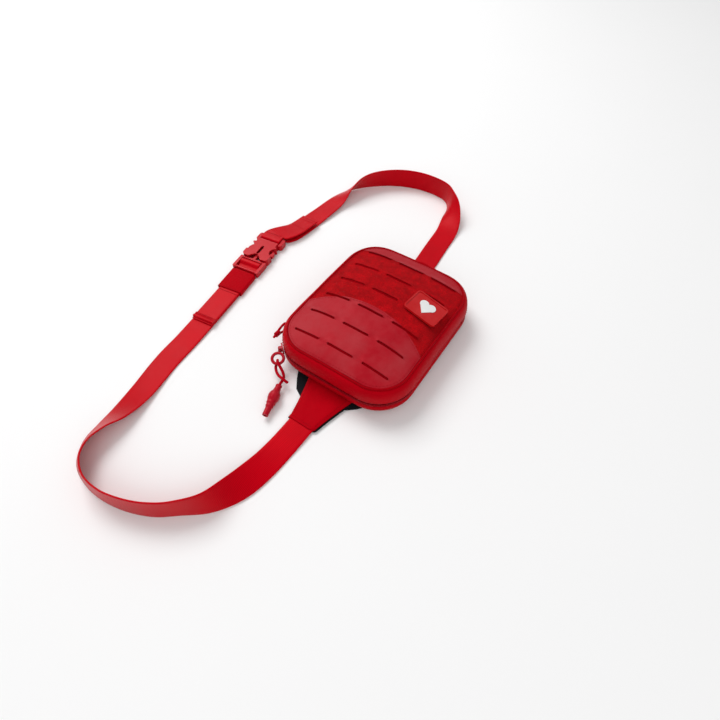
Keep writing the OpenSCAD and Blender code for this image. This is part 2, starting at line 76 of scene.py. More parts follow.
SHELL_LOW, SHELL_HIGH = node_box("back_shell")
HALF_W, HALF_H = SHELL_HIGH.x, SHELL_HIGH.y
CORNER_R = 38
CORNER_X, CORNER_Y = HALF_W - CORNER_R, HALF_H - CORNER_R
BACK_Z, BACK_TOP = SHELL_LOW.z, SHELL_HIGH.z
LID_Z = node_box("lid_gusset")[0].z
ZIP_Z = (BACK_TOP + LID_Z) / 2
SEAM_INSET = 6
DOME_TOP = node_box("lower_panel")[1].z

EDGE_Z = 31
SLOT_PITCH_X, SLOT_PITCH_Y = 38.1, 25.4
SLOT_LEN, SLOT_W = 28, 1.8
SLOTS = [(i * SLOT_PITCH_X, (j + 0.5) * SLOT_PITCH_Y) for i in (-1, 0, 1) for j in range(-3, 3)]
ARCH_TOP, ARCH_R = -6.5, 114
BAND_Y = 2.5 * SLOT_PITCH_Y + 0.9

WEB_W, WEB_T = 25.4, 1.6

# ---------- camera, floor and light ----------


def aim(obj, place, target):
    """Puts obj at place, looking at target, both in metres."""
    obj.location = place
    obj.rotation_euler = (Vector(target) - Vector(place)).to_track_quat("-Z", "Y").to_euler()


def add_camera():
    camera = bpy.data.objects.new("camera", bpy.data.cameras.new("camera"))
    camera.data.lens = 24.54
    camera.data.sensor_width = 36
    camera.data.clip_end = 50
    scene.collection.objects.link(camera)
    aim(camera, (0.1646, -0.2735, 0.3988), (0.0051, -0.0381, 0))
    scene.camera = camera


def add_light(name, place, size, power, target=(-0.03, 0, 0)):
    light = bpy.data.lights.new(name, "AREA")
    light.size = size
    light.energy = power
    lamp = bpy.data.objects.new(name, light)
    scene.collection.objects.link(lamp)
    aim(lamp, place, target)


add_camera()
add_light("key", (-1.3, 0.5, 1.7), 1.2, 30)
add_light("fill", (1.3, -1.0, 1.5), 1.6, 7)
add_light("front", (0.5, -1.7, 1.3), 1.4, 5)

world = bpy.data.worlds.new("studio")
world.use_nodes = True
world.node_tree.nodes["Background"].inputs["Color"].default_value = (1, 1, 1, 1)
world.node_tree.nodes["Background"].inputs["Strength"].default_value = 0.46
scene.world = world
scene.view_settings.view_transform = "Standard"

# ---------- materials ----------


class Net:
    """A material's node tree, with one Principled shader."""

    def __init__(self, name):
        self.material = bpy.data.materials.new(name)
        self.material.use_nodes = True
        self.tree = self.material.node_tree
        self.shader = self.tree.nodes["Principled BSDF"]

    def node(self, kind, **settings):
        made = self.tree.nodes.new("ShaderNode" + kind)
        for key, value in settings.items():
            setattr(made, key, value)
        return made

    def plug(self, value, socket):
        """Links a socket, or sets a number."""
        if isinstance(value, bpy.types.NodeSocket):
            self.tree.links.new(value, socket)
        else:
            socket.default_value = value

    def math(self, operation, a, b=0.0):
        made = self.node("Math", operation=operation)
        self.plug(a, made.inputs[0])
        self.plug(b, made.inputs[1])
        return made.outputs[0]

    def run(self):
        """The surface's own coordinates in metres: along the run, and across it."""
        made = self.node("UVMap", uv_map="run")
        split = self.node("SeparateXYZ")
        self.plug(made.outputs["UV"], split.inputs[0])
        return split.outputs[0], split.outputs[1]

    def place(self):
        return self.node("TexCoord").outputs["Object"]

    def noise(self, scale, detail=3.0, rough=0.55):
        made = self.node("TexNoise")
        self.plug(self.place(), made.inputs["Vector"])
        made.inputs["Scale"].default_value = scale
        made.inputs["Detail"].default_value = detail
        made.inputs["Roughness"].default_value = rough
        return made.outputs["Fac"]

    def cells(self, scale):
        made = self.node("TexVoronoi")
        self.plug(self.place(), made.inputs["Vector"])
        made.inputs["Scale"].default_value = scale
        return made.outputs["Distance"]

    def wave(self, along, pitch, shift=0.0):
        """A sine of one coordinate in metres, with its pitch in millimetres."""
        turned = self.math("MULTIPLY", along, TAU / (pitch * MM))
        return self.math("SINE", self.math("ADD", turned, shift))

    def mix(self, factor, a, b):
        made = self.node("Mix", data_type="RGBA")
        self.plug(factor, made.inputs[0])
        self.plug(a, made.inputs[6])
        self.plug(b, made.inputs[7])
        return made.outputs[2]

    def ramp(self, value, low, high, out_low=0.0, out_high=1.0):
        made = self.node("MapRange")
        self.plug(value, made.inputs["Value"])
        for key, number in (("From Min", low), ("From Max", high),
                            ("To Min", out_low), ("To Max", out_high)):
            made.inputs[key].default_value = number
        return made.outputs[0]

    def bump(self, height, depth, strength=1.0, over=None):
        made = self.node("Bump")
        self.plug(height, made.inputs["Height"])
        made.inputs["Distance"].default_value = depth * MM
        made.inputs["Strength"].default_value = strength
        if over is not None:
            self.plug(over, made.inputs["Normal"])
        return made.outputs[0]

    def finish(self, colour, rough, normal=None, **values):
        """Sets the shader. values are plain numbers for its other sockets."""
        self.plug(colour, self.shader.inputs["Base Color"])
        self.plug(rough, self.shader.inputs["Roughness"])
        if normal is not None:
            self.plug(normal, self.shader.inputs["Normal"])
        for key, number in values.items():
            self.shader.inputs[key.replace("_", " ")].default_value = number
        return self.material


def shade(colour, factor):
    return tuple(min(1, c * factor) for c in colour) + (1,)


def tinted(colour):
    """The colour at full strength, for its highlights."""
    return tuple(0.03 + 0.97 * c / max(colour) for c in colour) + (1,)


def woven(name, colour, pitch_u, pitch_v, rough=0.6, depth=0.12, painted_gap_shade=0.62, sheen=0.0, wear=0.12):
    """Plain weave along the surface's own run, with slow changes of tone."""
    net = Net(name)
    across, along = net.run()
    weave = net.math("MULTIPLY", net.wave(across, pitch_u), net.wave(along, pitch_v))
    height = net.ramp(weave, -1, 1)
    slow = net.ramp(net.noise(38, 4), 0.3, 0.7)
    tone = net.mix(slow, shade(colour, 1 - wear), shade(colour, 1 + wear))
    # Painted shade: the colour is darker where the weave is low, in the gaps between threads.
    weave_colour_with_painted_shade = net.mix(height, shade(colour, painted_gap_shade), tone)
    fine = net.noise(2600, 2)
    normal = net.bump(height, depth, over=net.bump(fine, 0.03))
    return net.finish(weave_colour_with_painted_shade, net.ramp(slow, 0, 1, rough - 0.05, rough + 0.05), normal,
                      Sheen_Weight=sheen, Sheen_Roughness=0.4, Specular_IOR_Level=0.1,
                      Specular_Tint=tinted(colour))


def webbing_material(name, colour, rough=0.36):
    """Nylon webbing: rows of ribs across, in columns that step by half a pitch, with a satin shine."""
    net = Net(name)
    across, along = net.run()
    column = net.math("SIGN", net.wave(across, 2.6))
    rib = net.wave(along, 1.25, net.math("MULTIPLY", column, math.pi / 4))
    edge = net.math("ABSOLUTE", net.wave(across, 2.6))
    height = net.math("ADD", net.ramp(rib, -1, 1), net.math("MULTIPLY", edge, 0.4))
    slow = net.ramp(net.noise(22, 3), 0.3, 0.7)
    tone = net.mix(slow, shade(colour, 0.86), shade(colour, 1.12))
    # Painted shade: the colour is darker in the valleys between the ribs.
    weave_colour_with_painted_shade = net.mix(net.ramp(rib, -1, 0.4), shade(colour, 0.66), tone)
    normal = net.bump(height, 0.05, over=net.bump(net.noise(1900, 2), 0.02))
    return net.finish(weave_colour_with_painted_shade, net.ramp(slow, 0, 1, rough - 0.05, rough + 0.06), normal,
                      Specular_IOR_Level=0.3, Specular_Tint=tinted(colour))


def pile_material(name, colour, depth=0.5, sheen=0.1):
    """Brushed loop pile: tangled small loops over soft patches."""
    net = Net(name)
    loops = net.noise(1500, 4, 0.7)
    patch = net.ramp(net.noise(120, 4, 0.6), 0.35, 0.65)
    tone = net.mix(patch, shade(colour, 0.68), shade(colour, 1.2))
    # Painted shade: the colour is darker where the loops are low, in the hollows between them.
    pile_colour_with_painted_shade = net.mix(net.ramp(loops, 0.35, 0.65), shade(colour, 0.4), tone)
    normal = net.bump(loops, depth, over=net.bump(net.noise(420, 3), 0.35))
    return net.finish(pile_colour_with_painted_shade, 0.95, normal, Specular_IOR_Level=0.12, Sheen_Weight=sheen,
                      Sheen_Roughness=0.5, Sheen_Tint=tinted(colour))


def hook_material(name, colour):
    net = Net(name)
    height = net.math("SUBTRACT", 1.0, net.cells(900))
    # Painted shade and painted highlight: the colour is darker in the hollows between hooks and lighter on
    # their tops.
    tone = net.mix(height, shade(colour, 0.5), shade(colour, 1.8))
    return net.finish(tone, 0.6, net.bump(height, 0.4), Specular_IOR_Level=0.4)


def coated_material(name, colour):
    """Coated laminate: fine leathery grain, soft rubbed patches."""
    net = Net(name)
    grain = net.noise(900, 5, 0.6)
    rubbed = net.ramp(net.noise(34, 4, 0.6), 0.38, 0.68)
    tone = net.mix(rubbed, shade(colour, 0.86), tuple(c * 0.86 + 0.022 for c in colour) + (1,))
    crease = net.noise(55, 2, 0.5)
    normal = net.bump(grain, 0.08, over=net.bump(crease, 1.1, 0.8))
    return net.finish(tone, net.ramp(rubbed, 0, 1, 0.42, 0.56), normal,
                      Specular_IOR_Level=0.3, Specular_Tint=tinted(colour))


def plastic_material(name, colour, rough=0.34, grain=0.04, coat=0.05):
    """Moulded plastic: faint spark texture, rubbed lighter here and there."""
    net = Net(name)
    spark = net.noise(1400, 3)
    rubbed = net.ramp(net.noise(90, 4), 0.4, 0.7)
    tone = net.mix(rubbed, shade(colour, 0.9), tuple(c * 0.94 + 0.01 for c in colour) + (1,))
    return net.finish(tone, net.ramp(rubbed, 0, 1, rough - 0.05, rough + 0.08), net.bump(spark, grain),
                      Specular_IOR_Level=0.4, Specular_Tint=tinted(colour), Coat_Weight=coat,
                      Coat_Roughness=0.25)


def cord_material(name, colour):
    """Braided cord: crossing strands."""
    net = Net(name)
    across, along = net.run()
    strand = net.math("MULTIPLY",
                      net.wave(net.math("ADD", across, along), 1.7),
                      net.wave(net.math("SUBTRACT", across, along), 1.7))
    height = net.ramp(strand, -1, 1)
    # Painted shade and painted highlight: darker in the hollows between strands, lighter on their crowns.
    tone = net.mix(height, shade(colour, 0.55), shade(colour, 1.15))
    return net.finish(tone, 0.55, net.bump(height, 0.22), Specular_IOR_Level=0.35,
                      Specular_Tint=tinted(colour))


def mesh_material(name, colour):
    """Knitted mesh with small holes that let light through."""
    net = Net(name)
    across, along = net.run()
    holes = net.math("MULTIPLY", net.wave(across, 2.6), net.wave(along, 2.2))
    solid = net.ramp(net.math("ABSOLUTE", holes), 0.25, 0.4, 1.0, 0.0)
    tone = net.mix(net.noise(700, 2), shade(colour, 0.7), shade(colour, 1.5))
    net.plug(net.ramp(solid, 0, 1, 0.35, 1.0), net.shader.inputs["Alpha"])
    return net.finish(tone, 0.7, net.bump(solid, 0.2), Specular_IOR_Level=0.3)


BLACK = (0.012, 0.012, 0.014)

MATERIALS = {
    "webbing_red": webbing_material("webbing_red", (0.60, 0.0006, 0.008)),
    "nylon_red": woven("nylon_red", (0.55, 0.0008, 0.008), 0.9, 0.9, rough=0.52, depth=0.05),
    "elastic_red": woven("elastic_red", (0.56, 0.0008, 0.008), 1.6, 0.8, rough=0.6, depth=0.16),
    "binding_red": woven("binding_red", (0.44, 0.0008, 0.006), 0.7, 1.1, rough=0.62, depth=0.1),
    "zipper_tape": woven("zipper_tape", (0.38, 0.0008, 0.006), 0.8, 0.8, rough=0.7, depth=0.08),
    "nylon_black": woven("nylon_black", BLACK, 0.9, 0.9, rough=0.7, depth=0.08),
    "elastic_black": woven("elastic_black", (0.018, 0.018, 0.02), 1.8, 0.9, rough=0.65, depth=0.2),
    "lining": woven("lining", (0.085, 0.085, 0.092), 0.7, 0.7, rough=0.5, depth=0.04, sheen=0.1),
    "loop_red": pile_material("loop_red", (0.58, 0.0006, 0.005)),
    "loop_black": pile_material("loop_black", BLACK, 0.5, 0.1),
    "hook_black": hook_material("hook_black", (0.016, 0.016, 0.018)),
    "mesh_black": mesh_material("mesh_black", (0.014, 0.014, 0.016)),
    "foam": pile_material("foam", (0.11, 0.11, 0.12), 0.3, 0.0),
    "coated_red": coated_material("coated_red", (0.45, 0.009, 0.019)),
    "thread_red": woven("thread_red", (0.46, 0.005, 0.013), 0.5, 0.7, rough=0.5, depth=0.05),
    "zipper_coil": plastic_material("zipper_coil", (0.33, 0.001, 0.008), 0.42, 0.02, 0.0),
    "slider_red": plastic_material("slider_red", (0.36, 0.001, 0.012), 0.36, 0.02, 0.2),
    "buckle_red": plastic_material("buckle_red", (0.50, 0.002, 0.010), 0.33),
    "pull_red": plastic_material("pull_red", (0.46, 0.005, 0.018), 0.42, 0.08, 0.1),
    "cord_red": cord_material("cord_red", (0.54, 0.001, 0.012)),
    "patch_red": plastic_material("patch_red", (0.55, 0.006, 0.008), 0.24, 0.02, 0.5),
    "patch_white": plastic_material("patch_white", (0.86, 0.86, 0.85), 0.3, 0.02, 0.3),
    "stiffener": plastic_material("stiffener", (0.72, 0.72, 0.7), 0.5, 0.03, 0.0),
}


def floor_material():
    net = Net("floor")
    tone = net.mix(net.noise(3, 2), (0.93, 0.93, 0.93, 1), (0.95, 0.95, 0.95, 1))
    return net.finish(tone, 0.9, Specular_IOR_Level=0.1)


def add_floor():
    mesh = bpy.data.meshes.new("floor")
    half = 4
    corners = [(-half, -half, 0), (half, -half, 0), (half, half, 0), (-half, half, 0)]
    mesh.from_pydata([(x, y, -0.0003) for x, y, _ in corners], [], [(0, 1, 2, 3)])
    mesh.materials.append(floor_material())
    floor = bpy.data.objects.new("floor", mesh)
    scene.collection.objects.link(floor)


add_floor()

# ---------- mesh helpers ----------


def add_piece(name, verts, faces, slot, body, replaces=(), corner_uvs=None, sharp=50):
    """Makes a piece from millimetre points, and ties it to its body, slot and CAD nodes."""
    mesh = bpy.data.meshes.new(name)
    mesh.from_pydata([Vector(v) * MM for v in verts], [], faces)
    layer = mesh.uv_layers.new(name="run")
    if corner_uvs is None:
        for loop in mesh.loops:
            at = mesh.vertices[loop.vertex_index].co
            layer.data[loop.index].uv = (at.x, at.y)
    else:
        flat = [uv for face in corner_uvs for uv in face]
        for loop, uv in zip(layer.data, flat):
            loop.uv = (uv[0] * MM, uv[1] * MM)
    work = bmesh.new()
    work.from_mesh(mesh)
    bmesh.ops.recalc_face_normals(work, faces=work.faces)
    work.to_mesh(mesh)
    work.free()
    mesh.shade_smooth()
    mesh.set_sharp_from_angle(angle=math.radians(sharp))
    mesh.materials.append(MATERIALS[slot])
    piece = bpy.data.objects.new(name, mesh)
    scene.collection.objects.link(piece)
    if body:
        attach(piece, body)
    if replaces:
        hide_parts(*replaces)
    return piece


def loft(name, rings, slot, body, replaces=(), run_closed=False, sharp=50):
    """Closed skin over rings of points, each ring a closed loop."""
    rings = [[Vector(p) for p in ring] for ring in rings]
    count, size = len(rings), len(rings[0])
    around = [0.0]
    for k in range(size):
        around.append(around[-1] + (rings[count // 2][k] - rings[count // 2][(k + 1) % size]).length)
    along = [0.0]
    for i in range(count):
        along.append(along[-1] + (rings[i][0] - rings[(i + 1) % count][0]).length)
    verts = [p for ring in rings for p in ring]
    faces, uvs = [], []
    for i in range(count if run_closed else count - 1):
        for k in range(size):
            i2, k2 = (i + 1) % count, (k + 1) % size
            faces.append((i * size + k, i2 * size + k, i2 * size + k2, i * size + k2))
            uvs.append(((around[k], along[i]), (around[k], along[i + 1]),
                        (around[k + 1], along[i + 1]), (around[k + 1], along[i])))
    if not run_closed:
        for i in (0, count - 1):
            faces.append(tuple(i * size + k for k in range(size)))
            uvs.append(tuple((p.x, p.y) for p in rings[i]))
    return add_piece(name, verts, faces, slot, body, replaces, uvs, sharp)


def smooth_rows(rows, steps):
    """Catmull-Rom points through rows of numbers."""
    made = []
    last = len(rows) - 1
    for i in range(last):
        a, b, c, d = rows[max(i - 1, 0)], rows[i], rows[i + 1], rows[min(i + 2, last)]
        for k in range(steps):
            t = k / steps
            made.append([0.5 * (2 * q + (r - p) * t + (2 * p - 5 * q + 4 * r - s) * t * t
                                + (3 * q - p - 3 * r + s) * t ** 3) for p, q, r, s in zip(a, b, c, d)])
    made.append(list(rows[-1]))
    return made


def direction(path, i):
    """Unit vector along a path at its point i."""
    return (path[min(i + 1, len(path) - 1)] - path[max(i - 1, 0)]).normalized()


def circle(centre, side, other, radius, sides):
    """Points round a centre, in the plane of two unit vectors."""
    return [centre + radius * (side * math.cos(TAU * k / sides) + other * math.sin(TAU * k / sides))
            for k in range(sides)]


def turned(centre, turn, x, y, z):
    """The point (x, y) of a frame at a centre that is turned about the vertical, at height z."""
    c, s = math.cos(turn), math.sin(turn)
    return Vector((centre[0] + x * c - y * s, centre[1] + x * s + y * c, z))


def sheet_faces(columns, rows):
    """Faces of a sheet with a thickness: a grid of points for its top comes first, then its bottom."""
    size = (columns + 1) * (rows + 1)
    faces = []
    for level in (0, 1):
        for j in range(rows):
            for i in range(columns):
                a = level * size + j * (columns + 1) + i
                quad = (a, a + 1, a + columns + 2, a + columns + 1)
                faces.append(quad if level == 0 else quad[::-1])
    rim = list(range(columns + 1))
    rim += [j * (columns + 1) + columns for j in range(1, rows + 1)]
    rim += [rows * (columns + 1) + i for i in range(columns - 1, -1, -1)]
    rim += [j * (columns + 1) for j in range(rows - 1, 0, -1)]
    return faces + [(b, a, a + size, b + size) for a, b in zip(rim, rim[1:] + rim[:1])]


def web_section(width, thick):
    """Cross-section of webbing, with soft edges, as (across, up) pairs."""
    half, rise = width / 2, thick / 2
    top = [(-half, 0.25 * rise), (-half + 0.25, 0.8 * rise), (-half + 0.9, rise)]
    top += [(-half + width * k / 8, rise * 0.94) for k in range(1, 8)]
    top += [(half - 0.9, rise), (half - 0.25, 0.8 * rise), (half, 0.25 * rise)]
    return top + [(a, -b) for a, b in reversed(top)]


def web_rings(route, steps, side, end_turn):
    """Rings of webbing along rows of (x, y, lift, roll), as the CAD's webbing runs. Over its last
    two spans it turns square to a buckle that is turned by end_turn."""
    rows = smooth_rows(route, steps)
    end_run = Vector((-math.sin(end_turn), math.cos(end_turn)))
    rings = []
    for i, (x, y, lift, roll) in enumerate(rows):
        before, after = rows[max(i - 1, 0)], rows[min(i + 1, len(rows) - 1)]
        run = Vector((after[0] - before[0], after[1] - before[1])).normalized()
        share = max(0, 1 - (len(rows) - 1 - i) / (2 * steps))
        run = run.lerp(end_run, share).normalized()
        out = side * Vector((run.y, -run.x))
        turn = math.radians(roll)
        across = Vector((out.x * math.cos(turn), out.y * math.cos(turn), -math.sin(turn)))
        up = Vector((out.x * math.sin(turn), out.y * math.sin(turn), math.cos(turn)))
        height = lift + WEB_W / 2 * abs(math.sin(turn)) + WEB_T / 2 * abs(math.cos(turn))
        centre = Vector((x, y, height))
        rings.append([centre + across * a + up * b for a, b in web_section(WEB_W, WEB_T)])
    return rings


def tube_rings(path, radius, sides=10):
    """Rings of a round tube along a path. radius is a number or a function of the index."""
    path = [Vector(p) for p in path]
    rings = []
    side = None
    for i, p in enumerate(path):
        run = direction(path, i)
        if side is None:
            side = run.cross(Vector((0.3, 0.2, 1))).normalized()
        side = (side - run * side.dot(run)).normalized()
        r = radius(i) if callable(radius) else radius
        rings.append(circle(p, side, run.cross(side), r, sides))
    return rings


def beads(name, places, slot, body, replaces=()):
    """Many small spindles in one piece. places holds (start, end, radius)."""
    verts, faces, uvs = [], [], []
    sides = 6
    steps = ((0.0, 0.35), (0.2, 0.9), (0.5, 1.0), (0.8, 0.9), (1.0, 0.35))
    for start, end, radius in places:
        path = [start.lerp(end, t) for t, _ in steps]
        run = (end - start).normalized()
        side = run.cross(Vector((0.31, 0.21, 0.93))).normalized()
        other = run.cross(side)
        base = len(verts)
        for p, (_, share) in zip(path, steps):
            verts += circle(p, side, other, radius * share, sides)
        for i in range(len(steps) - 1):
            for k in range(sides):
                k2 = (k + 1) % sides
                faces.append((base + i * sides + k, base + (i + 1) * sides + k,
                              base + (i + 1) * sides + k2, base + i * sides + k2))
                uvs.append(((k, i), (k, i + 1), (k + 1, i + 1), (k + 1, i)))
        for i in (0, len(steps) - 1):
            faces.append(tuple(base + i * sides + k for k in range(sides)))
            uvs.append(tuple((k, i) for k in range(sides)))
    return add_piece(name, verts, faces, slot, body, replaces, uvs, sharp=80)


def along_path(path, pitch):
    """Evenly spaced points along a path."""
    path = [Vector(p) for p in path]
    made, left = [], 0.0
    for a, b in zip(path, path[1:]):
        length = (b - a).length
        while left < length:
            made.append(a.lerp(b, left / length))
            left += pitch
        left -= length
    return made


def stitch_places(path, length=2.3, gap=0.9, radius=0.26):
    points = along_path(path, length + gap)
    share = length / (length + gap)
    return [(a, a.lerp(b, share), radius) for a, b in zip(points, points[1:])]


def stitches(name, paths, body, length=2.3, gap=0.9, radius=0.26, slot="thread_red"):
    places = [place for path in paths for place in stitch_places(path, length, gap, radius)]
    return beads(name, places, slot, body)


# ---------- outlines ----------


def stations(cx, cy, closed=True, arc=6, step=4):
    """Stations round a rounded rectangle whose corner centres are at (cx, cy), from the
    lower end of the upper right corner, anticlockwise. An open run leaves out the right side."""
    corners = ((cx, cy), (-cx, cy), (-cx, -cy), (cx, -cy))
    made = []
    for n, (x, y) in enumerate(corners):
        turns = round(90 / arc)
        made += [(x, y, math.radians(90 * n + 90 * k / turns)) for k in range(turns + 1)]
        x2, y2 = corners[(n + 1) % 4]
        if n == 3 and not closed:
            break
        parts = round(math.dist((x, y), (x2, y2)) / step)
        made += [(x + (x2 - x) * k / parts, y + (y2 - y) * k / parts, math.radians(90 * (n + 1)))
                 for k in range(1, parts)]
    return made


def at(station, radius, z=0.0):
    x, y, angle = station
    return Vector((x + radius * math.cos(angle), y + radius * math.sin(angle), z))


WALL = stations(CORNER_X, CORNER_Y)
ZIP_RUN = stations(CORNER_X, CORNER_Y, closed=False)


def from_wall(*pairs):
    """Profile of (radius, z) pairs from ones whose radius is measured from the outer wall."""
    return [(CORNER_R + offset, z) for offset, z in pairs]


def thick_profile(profile, t):
    """Closed section from an open one of (radius, z) pairs, t thick to the right of its run."""
    inner = []
    for i, (r, z) in enumerate(profile):
        a, b = profile[max(i - 1, 0)], profile[min(i + 1, len(profile) - 1)]
        run = Vector((b[0] - a[0], b[1] - a[1])).normalized()
        inner.append((r + run.y * t, z - run.x * t))
    return list(profile) + inner[::-1]


def sweep(name, run, section, slot, body, replaces=(), closed=True, sharp=50):
    """A section of (radius, z) pairs, or a function of the station, carried round a run."""
    rings = []
    for s in run:
        points = section(s) if callable(section) else section
        rings.append([at(s, r, z) for r, z in points])
    return loft(name, rings, slot, body, replaces, run_closed=closed, sharp=sharp)


def soft_slab(name, low, high, radius, slot, body, replaces=(), soft=0.3):
    """Flat sheet with rounded corners and softened edges."""
    cx, cy = (high.x - low.x) / 2 - radius, (high.y - low.y) / 2 - radius
    mid = (low + high) / 2
    soft = min(soft, (high.z - low.z) / 2)
    verts, faces = [], []
    run = stations(cx, cy, arc=15, step=8)
    levels = ((soft, low.z), (0, low.z + soft), (0, high.z - soft), (soft, high.z))
    for inset, z in levels:
        verts += [at(s, radius - inset, z) + Vector((mid.x, mid.y, 0)) for s in run]
    size = len(run)
    for i in range(len(levels) - 1):
        faces += [(i * size + k, i * size + (k + 1) % size, (i + 1) * size + (k + 1) % size,
                   (i + 1) * size + k) for k in range(size)]
    faces.append(tuple(range(size)))
    faces.append(tuple((len(levels) - 1) * size + k for k in range(size)))
    return add_piece(name, verts, faces, slot, body, replaces)


# ---------- front surface ----------

PATCH_X, PATCH_Y, PATCH_TURN = 41, 21, math.radians(-5)
PATCH_HALF_W, PATCH_HALF_H = 18, 14.5
SPHERE_R = 229
SPHERE_Z = 47 - SPHERE_R
PATCH_NORMAL = Vector((PATCH_X, PATCH_Y, math.sqrt(SPHERE_R ** 2 - PATCH_X ** 2 - PATCH_Y ** 2))) / SPHERE_R
PATCH_SEAT = Vector((0, 0, SPHERE_Z)) + PATCH_NORMAL * (SPHERE_R + 0.6)


def dome(x, y):
    """Height of the padded front."""
    crown = DOME_TOP - EDGE_Z
    return EDGE_Z + crown * (1 - abs(x / 73) ** 2.5) * (1 - abs(y / 90) ** 2.5)


def slot_distance(x, y):
    """Distance to the nearest slot's edge, and which side of its middle the point is on."""
    best, side = 99.0, 0.0
    for sx, sy in SLOTS:
        dx = max(abs(x - sx) - (SLOT_LEN - SLOT_W) / 2, 0)
        d = math.hypot(dx, y - sy) - SLOT_W / 2
        if d < best:
            best, side = d, (1.0 if y > sy else -1.0)
    return best, side


def under_patch(x, y):
    """How deep inside the patch's outline the point is, in mm, and the patch's seat height there."""
    dx, dy = x - PATCH_SEAT.x, y - PATCH_SEAT.y
    u = dx * math.cos(PATCH_TURN) + dy * math.sin(PATCH_TURN)
    v = -dx * math.sin(PATCH_TURN) + dy * math.cos(PATCH_TURN)
    depth = min(PATCH_HALF_W + 1 - abs(u), PATCH_HALF_H + 1 - abs(v))
    seat = PATCH_SEAT.z - (dx * PATCH_NORMAL.x + dy * PATCH_NORMAL.y) / PATCH_NORMAL.z
    return depth, seat


def front_z(x, y):
    """The front with the padding's soft unevenness, raised lips at the slots, and the patch's dent."""
    z = dome(x, y)
    z += 0.7 * noise.noise(Vector((x / 30, y / 22, 4.2)))
    z += 0.25 * noise.noise(Vector((x / 9, y / 12, 8.6)))
    d, side = slot_distance(x, y)
    lip = math.exp(-(max(d, 0) / 3.4) ** 2)
    z += lip * (1.0 if side > 0 else -0.3)
    depth, seat = under_patch(x, y)
    if depth > -3:
        share = min(1, (depth + 3) / 3)
        z = min(z, z * (1 - share) + (seat - 0.15) * share)
    return z


def rounded_distance(x, y, inset):
    """Signed distance to the wall's outline moved inwards by inset, negative inside."""
    dx, dy = abs(x) - CORNER_X, abs(y) - CORNER_Y
    outside = math.hypot(max(dx, 0), max(dy, 0)) + min(max(dx, dy), 0)
    return outside - (CORNER_R - inset)


FACE_INSET = SEAM_INSET + 1.3
ARCH_CENTRE = Vector((0, ARCH_TOP - ARCH_R))


def arch_distance(x, y):
    return math.hypot(x, y - ARCH_CENTRE.y) - ARCH_R


def face_plan():
    """Triangles of the front, seen from above, that follow its outline, slots, arch and band."""
    points, edges = [], []

    def add_line(line, closed):
        base = len(points)
        points.extend(line)
        edges.extend((base + k, base + k + 1) for k in range(len(line) - 1))
        if closed:
            edges.append((base + len(line) - 1, base))

    rim = stations(CORNER_X, CORNER_Y, arc=3, step=2)
    add_line([at(s, CORNER_R - FACE_INSET).xy for s in rim], True)
    for sx, sy in SLOTS:
        ends = []
        for turn, cx in ((-90, sx + (SLOT_LEN - SLOT_W) / 2), (90, sx - (SLOT_LEN - SLOT_W) / 2)):
            ends += [Vector((cx + SLOT_W / 2 * math.cos(math.radians(turn + 30 * k)),
                             sy + SLOT_W / 2 * math.sin(math.radians(turn + 30 * k)))) for k in range(7)]
        full = []
        for k, p in enumerate(ends):
            full.append(p)
            if k == 6 or k == 13:
                q = ends[(k + 1) % 14]
                full += [p.lerp(q, n / 13) for n in range(1, 13)]
        add_line(full, True)
    reach = 38
    add_line([ARCH_CENTRE + ARCH_R * Vector((math.sin(math.radians(k)), math.cos(math.radians(k))))
              for k in range(-reach, reach + 1)], False)
    add_line([Vector((-70 + 2 * k, BAND_Y)) for k in range(71)], False)
    step = 2.1
    rows = int(HALF_H / (step * 0.866))
    for j in range(-rows, rows + 1):
        for i in range(-36, 37):
            x, y = (i + 0.5 * (j % 2)) * step, j * step * 0.866
            near = min(abs(rounded_distance(x, y, FACE_INSET)), abs(slot_distance(x, y)[0]),
                       abs(arch_distance(x, y)), abs(y - BAND_Y))
            if near > 0.75 and rounded_distance(x, y, FACE_INSET) < 0:
                points.append(Vector((x, y)))
    verts, _, faces = delaunay_2d_cdt(points, edges, [], 0, 1e-4)[:3]
    return [tuple(v) for v in verts], [tuple(f) for f in faces]


PLAN_POINTS, PLAN_FACES = face_plan()


def face_layer(name, keep, rise, t, slot, replaces):
    """A layer of the front: the plan's triangles that keep(x, y) accepts, rise above the
    surface and t thick."""
    chosen, used = [], {}
    for face in PLAN_FACES:
        x = sum(PLAN_POINTS[k][0] for k in face) / 3
        y = sum(PLAN_POINTS[k][1] for k in face) / 3
        if rounded_distance(x, y, FACE_INSET) < 0 and keep(x, y):
            chosen.append(tuple(used.setdefault(k, len(used)) for k in face))
    plan = [PLAN_POINTS[k] for k in used]
    tops = [(x, y, front_z(x, y) + rise) for x, y in plan]
    size = len(tops)
    verts = tops + [(x, y, z - t) for x, y, z in tops]
    faces = list(chosen) + [tuple(k + size for k in reversed(face)) for face in chosen]
    sides = {}
    for face in chosen:
        for a, b in zip(face, face[1:] + face[:1]):
            if (b, a) in sides:
                del sides[(b, a)]
            else:
                sides[(a, b)] = True
    faces += [(b, a, a + size, b + size) for a, b in sides]
    return add_piece(name, verts, faces, slot, "lid", replaces)


# ---------- the pull's cord, which comes first ----------

CORD_D = 2.8
CORD_ROUTE = [
    (-39.2, -108.8, 6.4), (-39.6, -106.4, 6.6), (-39.6, -103.8, 7.2), (-40, -101, 8.4),
    (-42.6, -98.2, 10.4), (-46.6, -96.2, 13), (-50.2, -94.9, 15.7), (-52.6, -93.3, 16.3),
    (-54.2, -91.7, 15.2), (-54.9, -91.1, 13.05), (-55, -92.2, 10.9), (-54.6, -94.6, 9.7),
    (-52.4, -97.6, 9.4), (-48.9, -100.4, 9.6), (-45, -102.4, 10.1), (-41.5, -103.2, 10.5),
    (-38, -103.4, 10), (-35.4, -103.2, 8.6), (-34, -102.9, 7.2)]


